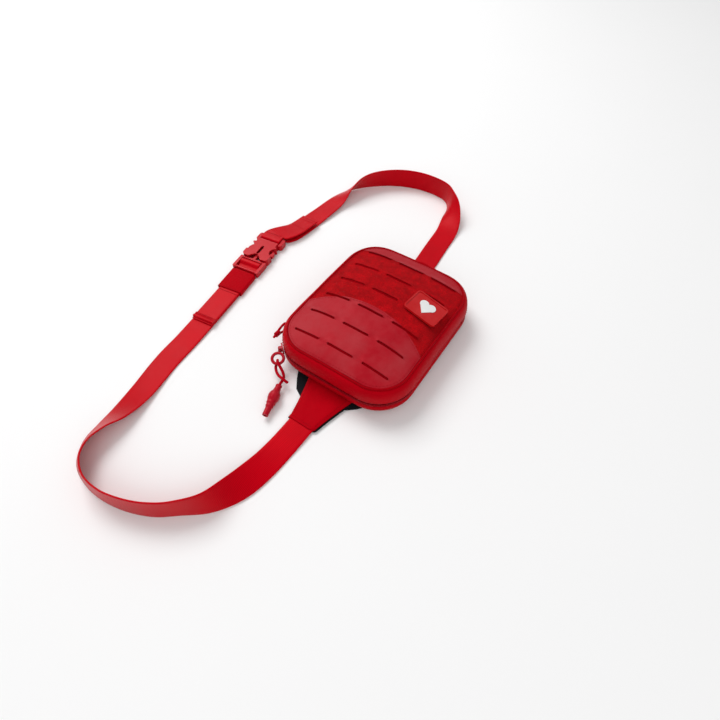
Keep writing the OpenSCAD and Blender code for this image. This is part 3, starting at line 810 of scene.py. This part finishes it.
def add_pull_cord():
    path = smooth_rows(CORD_ROUTE, 4)
    cord = loft("pull_cord", tube_rings(path, CORD_D / 2, 12), "cord_red", "pull_corner",
                ["pull_cord_corner"])


add_pull_cord()

# ---------- lid ----------


def seam_point(station, inset):
    p = at(station, CORNER_R - inset)
    return dome(p.x, p.y)


def gusset_section(station):
    """The padded wall: it leaves the seam level, rolls over, and tucks in above the zipper."""
    top = seam_point(station, SEAM_INSET) - 0.3
    hip = LID_Z + 4.5
    p = at(station, CORNER_R)
    swell = 0.5 * noise.noise(Vector((p.x / 26, p.y / 26, 1.5)))
    arc = []
    for k in range(10):
        a = math.radians(10 * k)
        arc.append((CORNER_R - SEAM_INSET + (SEAM_INSET + swell) * math.sin(a) ** 0.85,
                    hip + (top - hip) * math.cos(a) ** 0.9))
    arc += from_wall((swell, hip - 1.6), (swell * 0.6 - 0.3, LID_Z + 1.5), (-1.1, LID_Z + 0.5),
                     (-2.0, LID_Z + 0.3))
    return thick_profile(arc, 1.3)


def add_lid():
    sweep("gusset_wall", WALL, gusset_section, "nylon_red", "lid", ["lid_gusset"], sharp=60)
    path = [at(s, CORNER_R - SEAM_INSET, seam_point(s, SEAM_INSET) + 0.25) for s in WALL]
    rings = []
    for i, p in enumerate(path):
        run = (path[(i + 1) % len(path)] - path[i - 1]).normalized()
        out = run.cross(Vector((0, 0, 1))).normalized()
        up = out.cross(run)
        rings.append(circle(p, out, up, 1.15, 10))
    loft("seam_piping", rings, "binding_red", "lid", ["lid_piping"], run_closed=True)

    def in_slot(x, y):
        return slot_distance(x, y)[0] < 0

    face_layer("front_base", lambda x, y: True, -1.3, 0.7, "binding_red", ["lid_face_base"])
    face_layer("front_foam", lambda x, y: True, -2.1, 2.4, "foam", ["lid_foam"])
    face_layer("front_loop_pile", lambda x, y: not in_slot(x, y) and arch_distance(x, y) > 0 and y < BAND_Y,
               0.0, 0.9, "loop_red", ["loop_field"])
    face_layer("front_coated_panel", lambda x, y: not in_slot(x, y) and arch_distance(x, y) < 0,
               0.45, 0.9, "coated_red", ["lower_panel"])
    face_layer("front_coated_band", lambda x, y: not in_slot(x, y) and y > BAND_Y,
               0.45, 0.9, "coated_red", ["top_band"])


def on_front(x, y, rise):
    return Vector((x, y, front_z(x, y) + rise))


def add_front_stitches():
    rim = [at(s, CORNER_R - FACE_INSET - 1.6) for s in stations(CORNER_X, CORNER_Y, arc=5, step=3)]
    arch = []
    for k in range(-36, 37):
        a = math.radians(k)
        arch.append(ARCH_CENTRE + (ARCH_R - 1.7) * Vector((math.sin(a), math.cos(a))))
    arch = [p for p in arch if rounded_distance(p.x, p.y, FACE_INSET) < -0.5 and slot_distance(*p)[0] > 0.5]
    paths = [[on_front(p.x, p.y, 0.5) for p in rim + rim[:1]]]
    part = []
    for a, b in zip(arch, arch[1:] + [None]):
        part.append(on_front(a.x, a.y, 0.55))
        if b is None or (b - a).length > 4:
            paths.append(part)
            part = []
    stitches("front_stitches", [p for p in paths if len(p) > 1], "lid", radius=0.2)
    low = [[at(s, CORNER_R + 0.05, LID_Z + 3.4) for s in WALL + WALL[:1]]]
    stitches("gusset_stitches", low, "lid", 2.0, 1.0, 0.24)


add_lid()
add_front_stitches()


def add_lid_inside():
    def section(station):
        top = seam_point(station, SEAM_INSET) - 5.2
        arc = from_wall((-2.3, LID_Z + 1.2), (-2.2, LID_Z + 5), (-3, top - 5), (-6, top - 1.5),
                        (-10, top - 0.4), (-18, top + 0.6), (-30, top + 1.5), (-36, top + 1.8))
        return thick_profile(arc, -0.6)

    sweep("lid_lining_wall", WALL, section, "lining", "lid", ["lid_lining"])
    mid = seam_point(WALL[0], SEAM_INSET) - 3.4
    soft_slab("lid_lining_middle", Vector((-CORNER_X - 3, -CORNER_Y - 3, mid - 0.5)),
              Vector((CORNER_X + 3, CORNER_Y + 3, mid + 0.1)), 4, "lining", "lid")


def pocket(name, node, corner, slot, body, bulge):
    """Mesh pocket sewn at its sides and bottom, slack at its open edge. Returns that edge."""
    low, high = node_box(node)
    half_x = high.x - 0.5
    columns, rows = 40, 26
    verts = []

    def height(x, share):
        return bulge * share * (1 - (x / half_x) ** 2)

    for level in (0, -0.35):
        for j in range(rows + 1):
            y = low.y + (high.y - low.y) * j / rows
            inner = max(abs(y) - (abs(low.y) - corner), 0) if y < 0 else 0
            reach = half_x - (corner - math.sqrt(max(corner ** 2 - inner ** 2, 0)))
            for i in range(columns + 1):
                x = reach * (2 * i / columns - 1)
                ripple = 0.4 * math.sin(x / 5.5) * (j / rows) ** 3
                verts.append((x, y, (low.z + high.z) / 2 + level + height(x, j / rows) + ripple))
    add_piece(name, verts, sheet_faces(columns, rows), slot, body, [node])
    return [Vector(verts[rows * (columns + 1) + i]) for i in range(columns + 1)]


def binding_rings(edge, half, t):
    """Folded tape over a pocket's open edge."""
    rings = []
    for p in edge:
        rings.append([p + Vector((0, dy, dz)) for dy, dz in (
            (-half, t), (half - 0.4, t), (half, 0), (half - 0.4, -t), (-half, -t), (-half - 0.2, 0))])
    return rings


def add_pockets():
    for name, node, tape, body, bulge in (
            ("back_pocket", "back_mesh_pocket", "back_pocket_binding", "pouch", 0.9),
            ("lid_pocket", "lid_mesh_pocket", "lid_pocket_binding", "lid", -1.6)):
        edge = pocket(name, node, 33, "mesh_black", body, bulge)
        edge = [p for p in edge if abs(p.x) < 66]
        loft(name + "_tape", binding_rings(edge, 2.2, 0.75), "binding_red", body, [tape])
        stitches(name + "_stitches", [[p + Vector((0, -1.4, 0.8)) for p in edge]], body, 2.0, 0.9, 0.18)


add_lid_inside()
add_pockets()

# ---------- back half ----------


def add_back():
    profile = from_wall((-1.6, BACK_TOP - 0.1), (-0.5, BACK_TOP - 0.5), (0, BACK_TOP - 1.8),
                        (0.1, BACK_Z + 4.5), (-0.6, BACK_Z + 2.0), (-2.2, BACK_Z + 0.6),
                        (-4.5, BACK_Z + 0.05), (-8, BACK_Z + 0.02))
    sweep("back_wall", WALL, thick_profile(profile, 1.1), "nylon_red", "pouch", ["back_shell"], sharp=60)
    soft_slab("back_panel", Vector((8 - HALF_W, 8 - HALF_H, BACK_Z + 0.03)),
              Vector((HALF_W - 8, HALF_H - 8, BACK_Z + 0.95)), 30, "nylon_red", "pouch")
    low, high = node_box("back_hook_panel")
    soft_slab("back_hook_sheet", low, high, 8, "hook_black", "pouch", ["back_hook_panel"])
    low, high = node_box("back_lining")
    floor_z = high.z
    wall = from_wall((-2.4, BACK_TOP - 0.6), (-2.3, floor_z + 3), (-3.2, floor_z + 0.8), (-5, floor_z),
                     (-9, floor_z - 0.1))
    sweep("back_lining_wall", WALL, thick_profile(wall, 0.5), "lining", "pouch")
    soft_slab("back_lining_floor", low + Vector((6.5, 6.5, 0)), high - Vector((6.5, 6.5, 0.05)), 29.5,
              "lining", "pouch", ["back_lining"])
    stitches("back_stitches", [[at(s, CORNER_R + 0.08, BACK_TOP - 3.2) for s in WALL + WALL[:1]]], "pouch",
             2.0, 1.0, 0.22)


def add_elastic_loops():
    """A band of elastic that stands up in four arches and is tacked down between them."""
    low, high = node_box("elastic_loops")
    pitch, rise, t = 28, high.z - low.z - 0.4, 0.7
    rings = []
    count = 96
    for k in range(count + 1):
        x = -2 * pitch + 4 * pitch * k / count
        phase = (x / pitch) % 1
        z = low.z + 0.5 + rise * abs(math.sin(math.pi * phase)) ** 0.8
        slope = 0.3 * math.cos(math.pi * phase)
        rings.append([Vector((x + slope * b, y, z + b)) for y, b in (
            (low.y, 0.1), (low.y + 0.6, t), (high.y - 0.6, t), (high.y, 0.1), (high.y - 0.6, 0),
            (low.y + 0.6, 0))])
    loft("elastic_loop_band", rings, "elastic_black", "pouch", ["elastic_loops"])
    tacks = [[Vector((x, y, low.z + 1.3)) for y in (low.y + 1, high.y - 1)] for x in (-28, 0, 28)]
    stitches("elastic_loop_tacks", tacks, "pouch", 1.6, 0.4, 0.35, "binding_red")


def add_zipper():
    tape = thick_profile(from_wall((-1.7, ZIP_Z - 0.7), (-1.2, BACK_TOP - 0.6), (-1.9, BACK_TOP - 2.6)), 0.4)
    sweep("zipper_tape_lower", ZIP_RUN, tape, "zipper_tape", "pouch", ["zipper_tape_back"], closed=False)
    tape = thick_profile(from_wall((-1.7, ZIP_Z + 0.7), (-1.2, LID_Z + 0.4), (-1.9, LID_Z + 2.2)), -0.4)
    sweep("zipper_tape_upper", ZIP_RUN, tape, "zipper_tape", "lid", ["zipper_tape_lid"], closed=False)
    pitch = 1.5
    for name, node, body, sign in (("zipper_teeth_lower", "zipper_coil_back", "pouch", -1),
                                   ("zipper_teeth_upper", "zipper_coil_lid", "lid", 1)):
        places = [(p + Vector((0, 0, ZIP_Z + sign * 0.15)), p + Vector((0, 0, ZIP_Z + sign * 1.7)), 0.62)
                  for p in along_path([at(s, CORNER_R - 0.6) for s in ZIP_RUN], pitch)]
        beads(name, places, "zipper_coil", body, [node])


def add_spine():
    """Fabric hinge that joins the two halves along the right wall."""
    low, high = node_box("spine_hinge")
    columns, rows = 24, 14
    x = HALF_W - 0.9
    rings = []
    for j in range(rows + 1):
        z = BACK_TOP - 2.2 + (LID_Z + 2.4 - BACK_TOP + 2.2) * j / rows
        rings.append([Vector((x + dx, y, z)) for y, dx in (
            [(low.y + (high.y - low.y) * k / columns, 0) for k in range(columns + 1)]
            + [(high.y - (high.y - low.y) * k / columns, -0.6) for k in range(columns + 1)])])
    spine = loft("spine_fabric", rings, "nylon_red", None, ["spine_hinge"])
    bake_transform(spine)


add_back()
add_elastic_loops()
add_zipper()
add_spine()

# ---------- handle ----------


def add_handle():
    """Webbing on its edge, bowed out of the wall; its lower edge leans furthest out."""
    low, high = node_box("grab_handle")
    mid_x = (low.x + high.x) / 2
    inner_y = low.y
    bow, half = high.y - low.y - 1.2, 24
    z0, z1 = low.z, high.z
    shares = []
    path = []
    for k in range(61):
        x = 33.5 * (k / 30 - 1)
        share = math.cos(math.pi * x / (2 * half)) ** 2 if abs(x) < half else 0
        shares.append(share)
        path.append(Vector((x, 0.75 + bow * share)))
    rings = []
    section = web_section(z1 - z0, 1.3)
    for i, p in enumerate(path):
        run = direction(path, i)
        out = Vector((-run.y, run.x))
        lean = math.radians(36) * shares[i]
        ring = []
        for a, b in section:
            away = b * math.cos(lean) - a * math.sin(lean)
            up = a * math.cos(lean) + b * math.sin(lean)
            ring.append(Vector((mid_x + p.x + out.x * away, inner_y + p.y + out.y * away,
                                (z0 + z1) / 2 + up)))
        rings.append(ring)
    loft("handle_webbing", rings, "webbing_red", "lid", ["grab_handle"])
    tacks = []
    for x in (-31.5, -27.5, 27.5, 31.5):
        tacks.append([Vector((mid_x + x, inner_y + 1.75, z)) for z in (z0 + 1.2, z1 - 1.2)])
    rows = [place for t in tacks for place in stitch_places(t, 0.9, -0.2, 0.6)]
    beads("handle_tacks", rows, "thread_red", "lid", ["handle_bartacks"])


add_handle()

# ---------- carrier and wing ----------


def add_carrier():
    low, high = node_box("carrier_front")
    back_low, back_high = node_box("carrier_back")
    foam_low, foam_high = node_box("carrier_foam")
    soft_slab("carrier_front_sheet", low, high, 34, "nylon_black", "carrier", ["carrier_front"], 0.45)
    soft_slab("carrier_back_sheet", back_low, back_high, 34, "nylon_black", "carrier", ["carrier_back"],
              0.45)
    soft_slab("carrier_foam_sheet", foam_low, foam_high, 30, "foam", "carrier", ["carrier_foam"])
    low, high = node_box("carrier_loop_field")
    soft_slab("carrier_pile", low, high, 10, "loop_black", "carrier", ["carrier_loop_field"])
    half_x, half_y, corner = back_high.x, back_high.y, 34
    run = stations(half_x - corner, half_y - corner)
    section = [(corner - 7, 4.3), (corner - 0.5, 4.35), (corner + 1.2, 3.6), (corner + 1.8, 2.1),
               (corner + 1.2, 0.6), (corner - 0.5, 0.02), (corner - 7, 0.02), (corner - 7, 0.25),
               (corner - 0.8, 0.5), (corner + 0.5, 2.1), (corner - 0.8, 3.9), (corner - 7, 4.05)]

    def clear(s):
        p = at(s, corner)
        return not (p.y < 0 and -28 < p.x < 32) and not (p.y > 0 and -22 < p.x < 6)

    parts, part = [], []
    start = next(i for i, s in enumerate(run) if not clear(s))
    for s in run[start:] + run[:start]:
        if clear(s):
            part.append(s)
        elif part:
            parts.append(part)
            part = []
    parts.append(part)
    for n, part in enumerate(p for p in parts if len(p) > 2):
        sweep("carrier_edge_%d" % (n + 1), part, section, "nylon_black", "carrier",
              ["carrier_binding"] if n == 0 else (), closed=False)


def add_wing():
    """Tapered wing in two layers, with thin black sheets beside its root that are painted shadow."""
    low, high = node_box("wing_front")
    mid_x = (low.x + high.x) / 2
    top_half, end_half = (high.x - low.x) / 2, 14.5
    top_y, end_y = high.y + 4, low.y
    columns, rows, rounding = 26, 40, 4

    def surface(name, grow, levels, slot, node, shift=0.0):
        verts = []
        for face_up in (1, 0):
            for j in range(rows + 1):
                t = j / rows
                y = top_y + (end_y - grow * 0.7 - top_y) * t
                down = min(1, max(0, (top_y - y - 4) / (high.y - low.y - 4)))
                half = top_half + (end_half - top_half) * down
                half += grow - 1.0 * math.sin(math.pi * t)
                near_end = max(0, end_y + rounding - y)
                half_right = half - (rounding - math.sqrt(max(rounding ** 2 - near_end ** 2, 0))) * 0.9
                for i in range(columns + 1):
                    u = 2 * i / columns - 1
                    x = mid_x + shift + (half * u if u < 0 else half_right * u)
                    edge = max(0, (abs(u) - 0.8) / 0.2)
                    z = levels(u, t, edge)
                    if not face_up:
                        z -= 0.75
                    verts.append((x, y, z))
        add_piece(name, verts, sheet_faces(columns, rows), slot, "carrier", [node])
        return verts

    def front(u, t, edge):
        puff = 0.5 * math.sin(math.pi * t) * (1 - u * u)
        ripple = 0.35 * noise.noise(Vector((u * 2.2, t * 3.2, 7)))
        return 3.9 + puff + ripple - 1.3 * edge ** 2 + 0.5 * (1 - t)

    def back(u, t, edge):
        return 1.15 + 0.9 * edge ** 2

    verts = surface("wing_fabric", 0, front, "nylon_red", "wing_front")
    surface("wing_lining", 0.9, back, "nylon_black", "wing_backing", 0.9)
    # Thin black sheets on the floor beside the wing's root: painted shadow, not a part of the pouch.
    painted_shadow_outlines = (
        [(-38, -82.3), (-33.5, -90.3), (-26.2, -100.5), (-17, -105.5), (-10, -95), (-16, -82.3)],
        [(24, -82.3), (38, -82.3), (34.5, -86.5), (27.5, -92.5), (18, -98)])
    for n, outline in enumerate(painted_shadow_outlines, 1):
        k = len(outline)
        corners = [(x, y, z) for z in (0.02, 0.38) for x, y in outline]
        faces = [tuple(reversed(range(k))), tuple(range(k, 2 * k))]
        faces += [(i, (i + 1) % k, (i + 1) % k + k, i + k) for i in range(k)]
        add_piece("wing_painted_shadow_%d" % n, corners, faces, "nylon_black", "carrier")
    paths = [[j * (columns + 1) + column for j in range(rows - 1)] for column in (2, columns - 2)]
    row = rows - 2
    paths.append([row * (columns + 1) + i for i in range(2, columns - 1)])
    lines = [[Vector(verts[k]) + Vector((0, 0, 0.12)) for k in path] for path in paths]
    stitches("wing_stitches", lines, "carrier", 1.5, 1.0, 0.2)


add_carrier()
add_wing()

# ---------- sling strap ----------

UPPER_ROUTE = [
    (-8, 80.2, 1.0, 0), (-8, 90, 1.0, 0), (-9, 116, 0, 0), (-12, 150, 0, 0), (-15, 182, 0, -6),
    (-23, 205, 0, -38), (-33, 221.5, 0, -76), (-45, 233, 0, -88), (-62, 237, 0, -90),
    (-84, 236, 0, -90), (-106, 229, 0, -92), (-125, 217, 0, -97), (-140, 202, 0, -105),
    (-150, 186, 0, -120), (-156, 168, 0, -143), (-159, 148, 0, -168), (-161.5, 124, 0, -174),
    (-164.3, 100, 0.4, -180), (-165.5, 84, 1.0, -180), (-168, 70, 1.1, -180),
    (-173.2, 60, 1.1, -180), (-179.4, 52, 1.1, -180)]
LOWER_ROUTE = [
    (2, -104, 1.05, 0), (2, -130, 1.05, 0), (1, -158, 0, 2), (-0.5, -182.5, 0, 12),
    (-3.8, -207.5, 0, 40), (-12.8, -230.2, 0, 70), (-29.5, -247.5, 0, 84), (-46, -260, 0, 84),
    (-66, -269, 0, 84), (-88, -274, 0, 84), (-110, -273, 0, 78), (-130, -264, 0, 62),
    (-140.5, -248, 0, 50), (-141.8, -230.5, 0, 40), (-141.5, -212, 0, 21), (-145, -186, 0, 6),
    (-152.3, -150, 0, 0), (-155.3, -118, 0.3, 0), (-158.9, -86, 1.1, 0), (-162.4, -60, 1.1, 0),
    (-166.4, -34, 1.1, 0), (-169.7, -19.6, 1.1, 0)]
TAIL_ROUTE = [
    (-158, -92, 2.9, 0), (-162.4, -60, 3.1, 0), (-166.4, -34, 3.1, 0), (-169.7, -19.6, 3.2, 0)]
FOLD_ROUTE = [
    (-164.2, 102.5, 2.2, 172), (-164.8, 96, 2.5, 172), (-165.6, 86, 3.2, 173), (-167, 76, 4.2, 175),
    (-170.5, 66, 5.8, 178), (-176.5, 56.5, 7.0, 180), (-179.4, 52.2, 7.2, 180)]
UPPER_TURN = [
    (34, 1.9), (26.4, 1.9), (24.9, 2.6), (24.2, 4), (24.2, 6), (24.7, 7.4), (26.2, 8.3), (30.5, 8.4),
    (32.6, 8.3), (34, 8.0)]
LOWER_TURN = [
    (-37.8, 1.9), (-19, 1.9), (-15.6, 2.2), (-14.1, 3.2), (-13.9, 4.7), (-14.2, 6), (-15.4, 6.95),
    (-17, 7.05), (-18.6, 6.7), (-19.8, 5.6), (-21, 4.4), (-23, 3.75), (-26, 3.6), (-30, 3.6),
    (-33, 3.8), (-37.8, 4.0)]
BUCKLE = Vector((-174.8, 18, 0))
BUCKLE_TURN = math.radians(7.7)


def at_buckle(x, y, z):
    """A point given across, along and above the buckle."""
    return turned(BUCKLE, BUCKLE_TURN, x, y, z)


def turn_rings(profile, t):
    """Webbing that turns round a buckle's bar: profile holds (along, above) pairs."""
    path = [Vector(p) for p in smooth_rows(profile, 4)]
    rings = []
    for i, p in enumerate(path):
        run = direction(path, i)
        up = Vector((-run.y, run.x))
        rings.append([at_buckle(a, p.x + up.x * b, p.y + up.y * b) for a, b in web_section(WEB_W, t)])
    return rings


def add_strap():
    for name, node, route, steps, side, end_turn in (
            ("strap_upper_web", "strap_upper", UPPER_ROUTE, 10, 1, BUCKLE_TURN + math.pi),
            ("strap_lower_web", "strap_lower", LOWER_ROUTE, 10, -1, BUCKLE_TURN),
            ("strap_fold_web", "strap_upper_fold", FOLD_ROUTE, 8, -1, BUCKLE_TURN + math.pi),
            ("strap_tail_web", "strap_tail", TAIL_ROUTE, 10, -1, BUCKLE_TURN)):
        loft(name, web_rings(route, steps, side, end_turn), "webbing_red", "carrier", [node])
    loft("strap_upper_turn", turn_rings(UPPER_TURN, 1.5), "webbing_red", "carrier", ["strap_upper_wrap"])
    loft("strap_lower_turn", turn_rings(LOWER_TURN, 1.4), "webbing_red", "carrier", ["strap_lower_wrap"])


def add_hem():
    """Rolled end of the tail."""
    place, turn = (-158.4, -89.5), math.radians(8)
    base = node_box("tail_hem")[0].z
    section = [(-1.1, 0.1), (-1.3, 0.8), (-0.9, 1.6), (0, 1.9), (1.0, 1.6), (1.6, 1.05), (5, 0.95),
               (5.4, 0.5), (5.2, 0.05)]
    rings = []
    for k in range(13):
        u = (k / 12 - 0.5) * (WEB_W - 0.4)
        rings.append([turned(place, turn, u, v, base + w) for v, w in section])
    loft("tail_hem_roll", rings, "webbing_red", "carrier", ["tail_hem"])
    lines = [[turned(place, turn, u, v, base + 1.08) for u in (-11.5, 11.5)] for v in (3.0, 4.3)]
    stitches("tail_hem_stitches", lines, "carrier", 1.6, 0.7, 0.2)


def top_line(ring, lift=0.06):
    """Line across the upper face of one of the webbing's rings, clear of its edges."""
    line = max(ring[2:11], ring[15:24], key=lambda side: sum(p.z for p in side))
    return [p + Vector((0, 0, lift)) for p in line]


def add_strap_stitches():
    fold = web_rings(FOLD_ROUTE, 8, -1, BUCKLE_TURN + math.pi)
    stitches("fold_stitches", [top_line(fold[k]) for k in (4, 8, 20)], "carrier", 1.6, 0.7, 0.22)
    tail = web_rings(TAIL_ROUTE, 10, -1, BUCKLE_TURN)
    row = min(tail, key=lambda ring: abs(ring[6].y + 46))
    stitches("tail_bartack", [top_line(row)], "carrier", 0.9, 0.1, 0.34)


def add_keeper():
    """Ribbed elastic sleeve that holds the tail down."""
    low, high = node_box("elastic_keeper")
    mid, turn = (-167.6, -28.2), math.radians(9)
    half_x, length, wall = 15.3, 14.6, 0.9

    def loop(grow):
        hx, a, b = half_x + grow, low.z - grow, high.z + grow
        r = 2.2 + grow
        corners = ((hx - r, b - r, 0), (-hx + r, b - r, 90), (-hx + r, a + r, 180), (hx - r, a + r, 270))
        angles = [math.radians(15 * k) for k in range(7)]
        return [(cx + r * math.cos(math.radians(start) + a), cz + r * math.sin(math.radians(start) + a))
                for cx, cz, start in corners for a in angles]

    steps = [(-length, 1)] + [(length * (k / 30 - 1) * 0.993, 0) for k in range(61)] + [(length, 1)]
    outside = []
    for v, tuck in steps:
        rib = 0.1 * math.sin(v * 3.1) * (1 - tuck)
        outside.append([turned(mid, turn, x * (1 - 0.008 * tuck), v, z + (rib if z > 3 else 0))
                        for x, z in loop(0)])
    inside = [[turned(mid, turn, x, v, z) for x, z in loop(0.2 - wall)] for v, _ in reversed(steps)]
    loft("keeper_sleeve", outside + inside, "elastic_red", "keeper", ["elastic_keeper"], run_closed=True)
    line = [turned(mid, turn, u, 1.4 - length, high.z + 0.05) for u in (-13, 13)]
    stitches("keeper_stitches", [line], "keeper", 1.5, 0.7, 0.2)


add_strap()
add_hem()
add_strap_stitches()
add_keeper()

# ---------- pulls ----------


def add_left_loop():
    """Short loop of cord through the left tab, whipped into a knot at its end."""
    angle = math.radians(180 + 88)
    pivot = Vector((-HALF_W - 3.7, -48, ZIP_Z))

    def place(a, b, c):
        return turned(pivot, angle, a, b, pivot.z + c)

    plan = [(16.4, -0.9, -0.1), (14, -0.5, 1.6), (10.5, 0, 3.4), (7, 0.2, 3.6), (5.1, 0.3, 1.6),
            (4.8, 0.3, -1), (5.1, 0.2, -3.6), (7, 0, -5.6), (10.5, 0, -5.4), (14, 0.5, -3.4),
            (16.4, 0.9, -1.9)]
    path = [place(*p) for p in smooth_rows(plan, 5)]
    loft("left_pull_loop", tube_rings(path, 1.3, 10), "cord_red", "pull_left", ["pull_loop_left"])
    turns = []
    for k in range(61):
        a = TAU * 4 * k / 60
        turns.append(place(15.8 + 5.2 * k / 60, 1.9 * math.cos(a), -1 + 1.9 * math.sin(a)))
    loft("left_pull_knot", tube_rings(turns, 0.85, 8), "cord_red", "pull_left")
    end = [place(15.5 + k, 0.2 * math.sin(k), -1) for k in range(10)]
    loft("left_pull_end", tube_rings(end, lambda i: 1.35 if i < 9 else 1.0, 10), "cord_red", "pull_left")


add_left_loop()

# ---------- CAD nodes that keep their shape ----------


def dress(node, width=0.35, segments=2):
    """Gives a CAD node its material and softened edges."""
    piece = frame["nodes"][node]
    slot = next(p["material_slot"] for p in frame["record"]["subparts"] if p["node"] == node)
    piece.data.materials.clear()
    piece.data.materials.append(MATERIALS[slot])
    if width:
        bevel = piece.modifiers.new("soft_edges", "BEVEL")
        bevel.width = width * MM
        bevel.segments = segments
        bevel.limit_method = "ANGLE"
        bevel.angle_limit = math.radians(40)
        bevel.harden_normals = False


for node, width in (
        ("buckle_female", 0.6), ("buckle_male", 0.5), ("buckle_prong_left", 0.5),
        ("buckle_prong_right", 0.5), ("slider_left", 0.3), ("slider_corner", 0.3),
        ("pull_tab_left", 0.25), ("pull_tab_corner", 0.25), ("pull_ring_corner", 0),
        ("pull_end_corner", 0.2), ("patch_hook", 0), ("patch_body", 0.4), ("patch_border", 0.5),
        ("patch_emblem", 0.12), ("back_stiffener", 0.2)):
    dress(node, width)
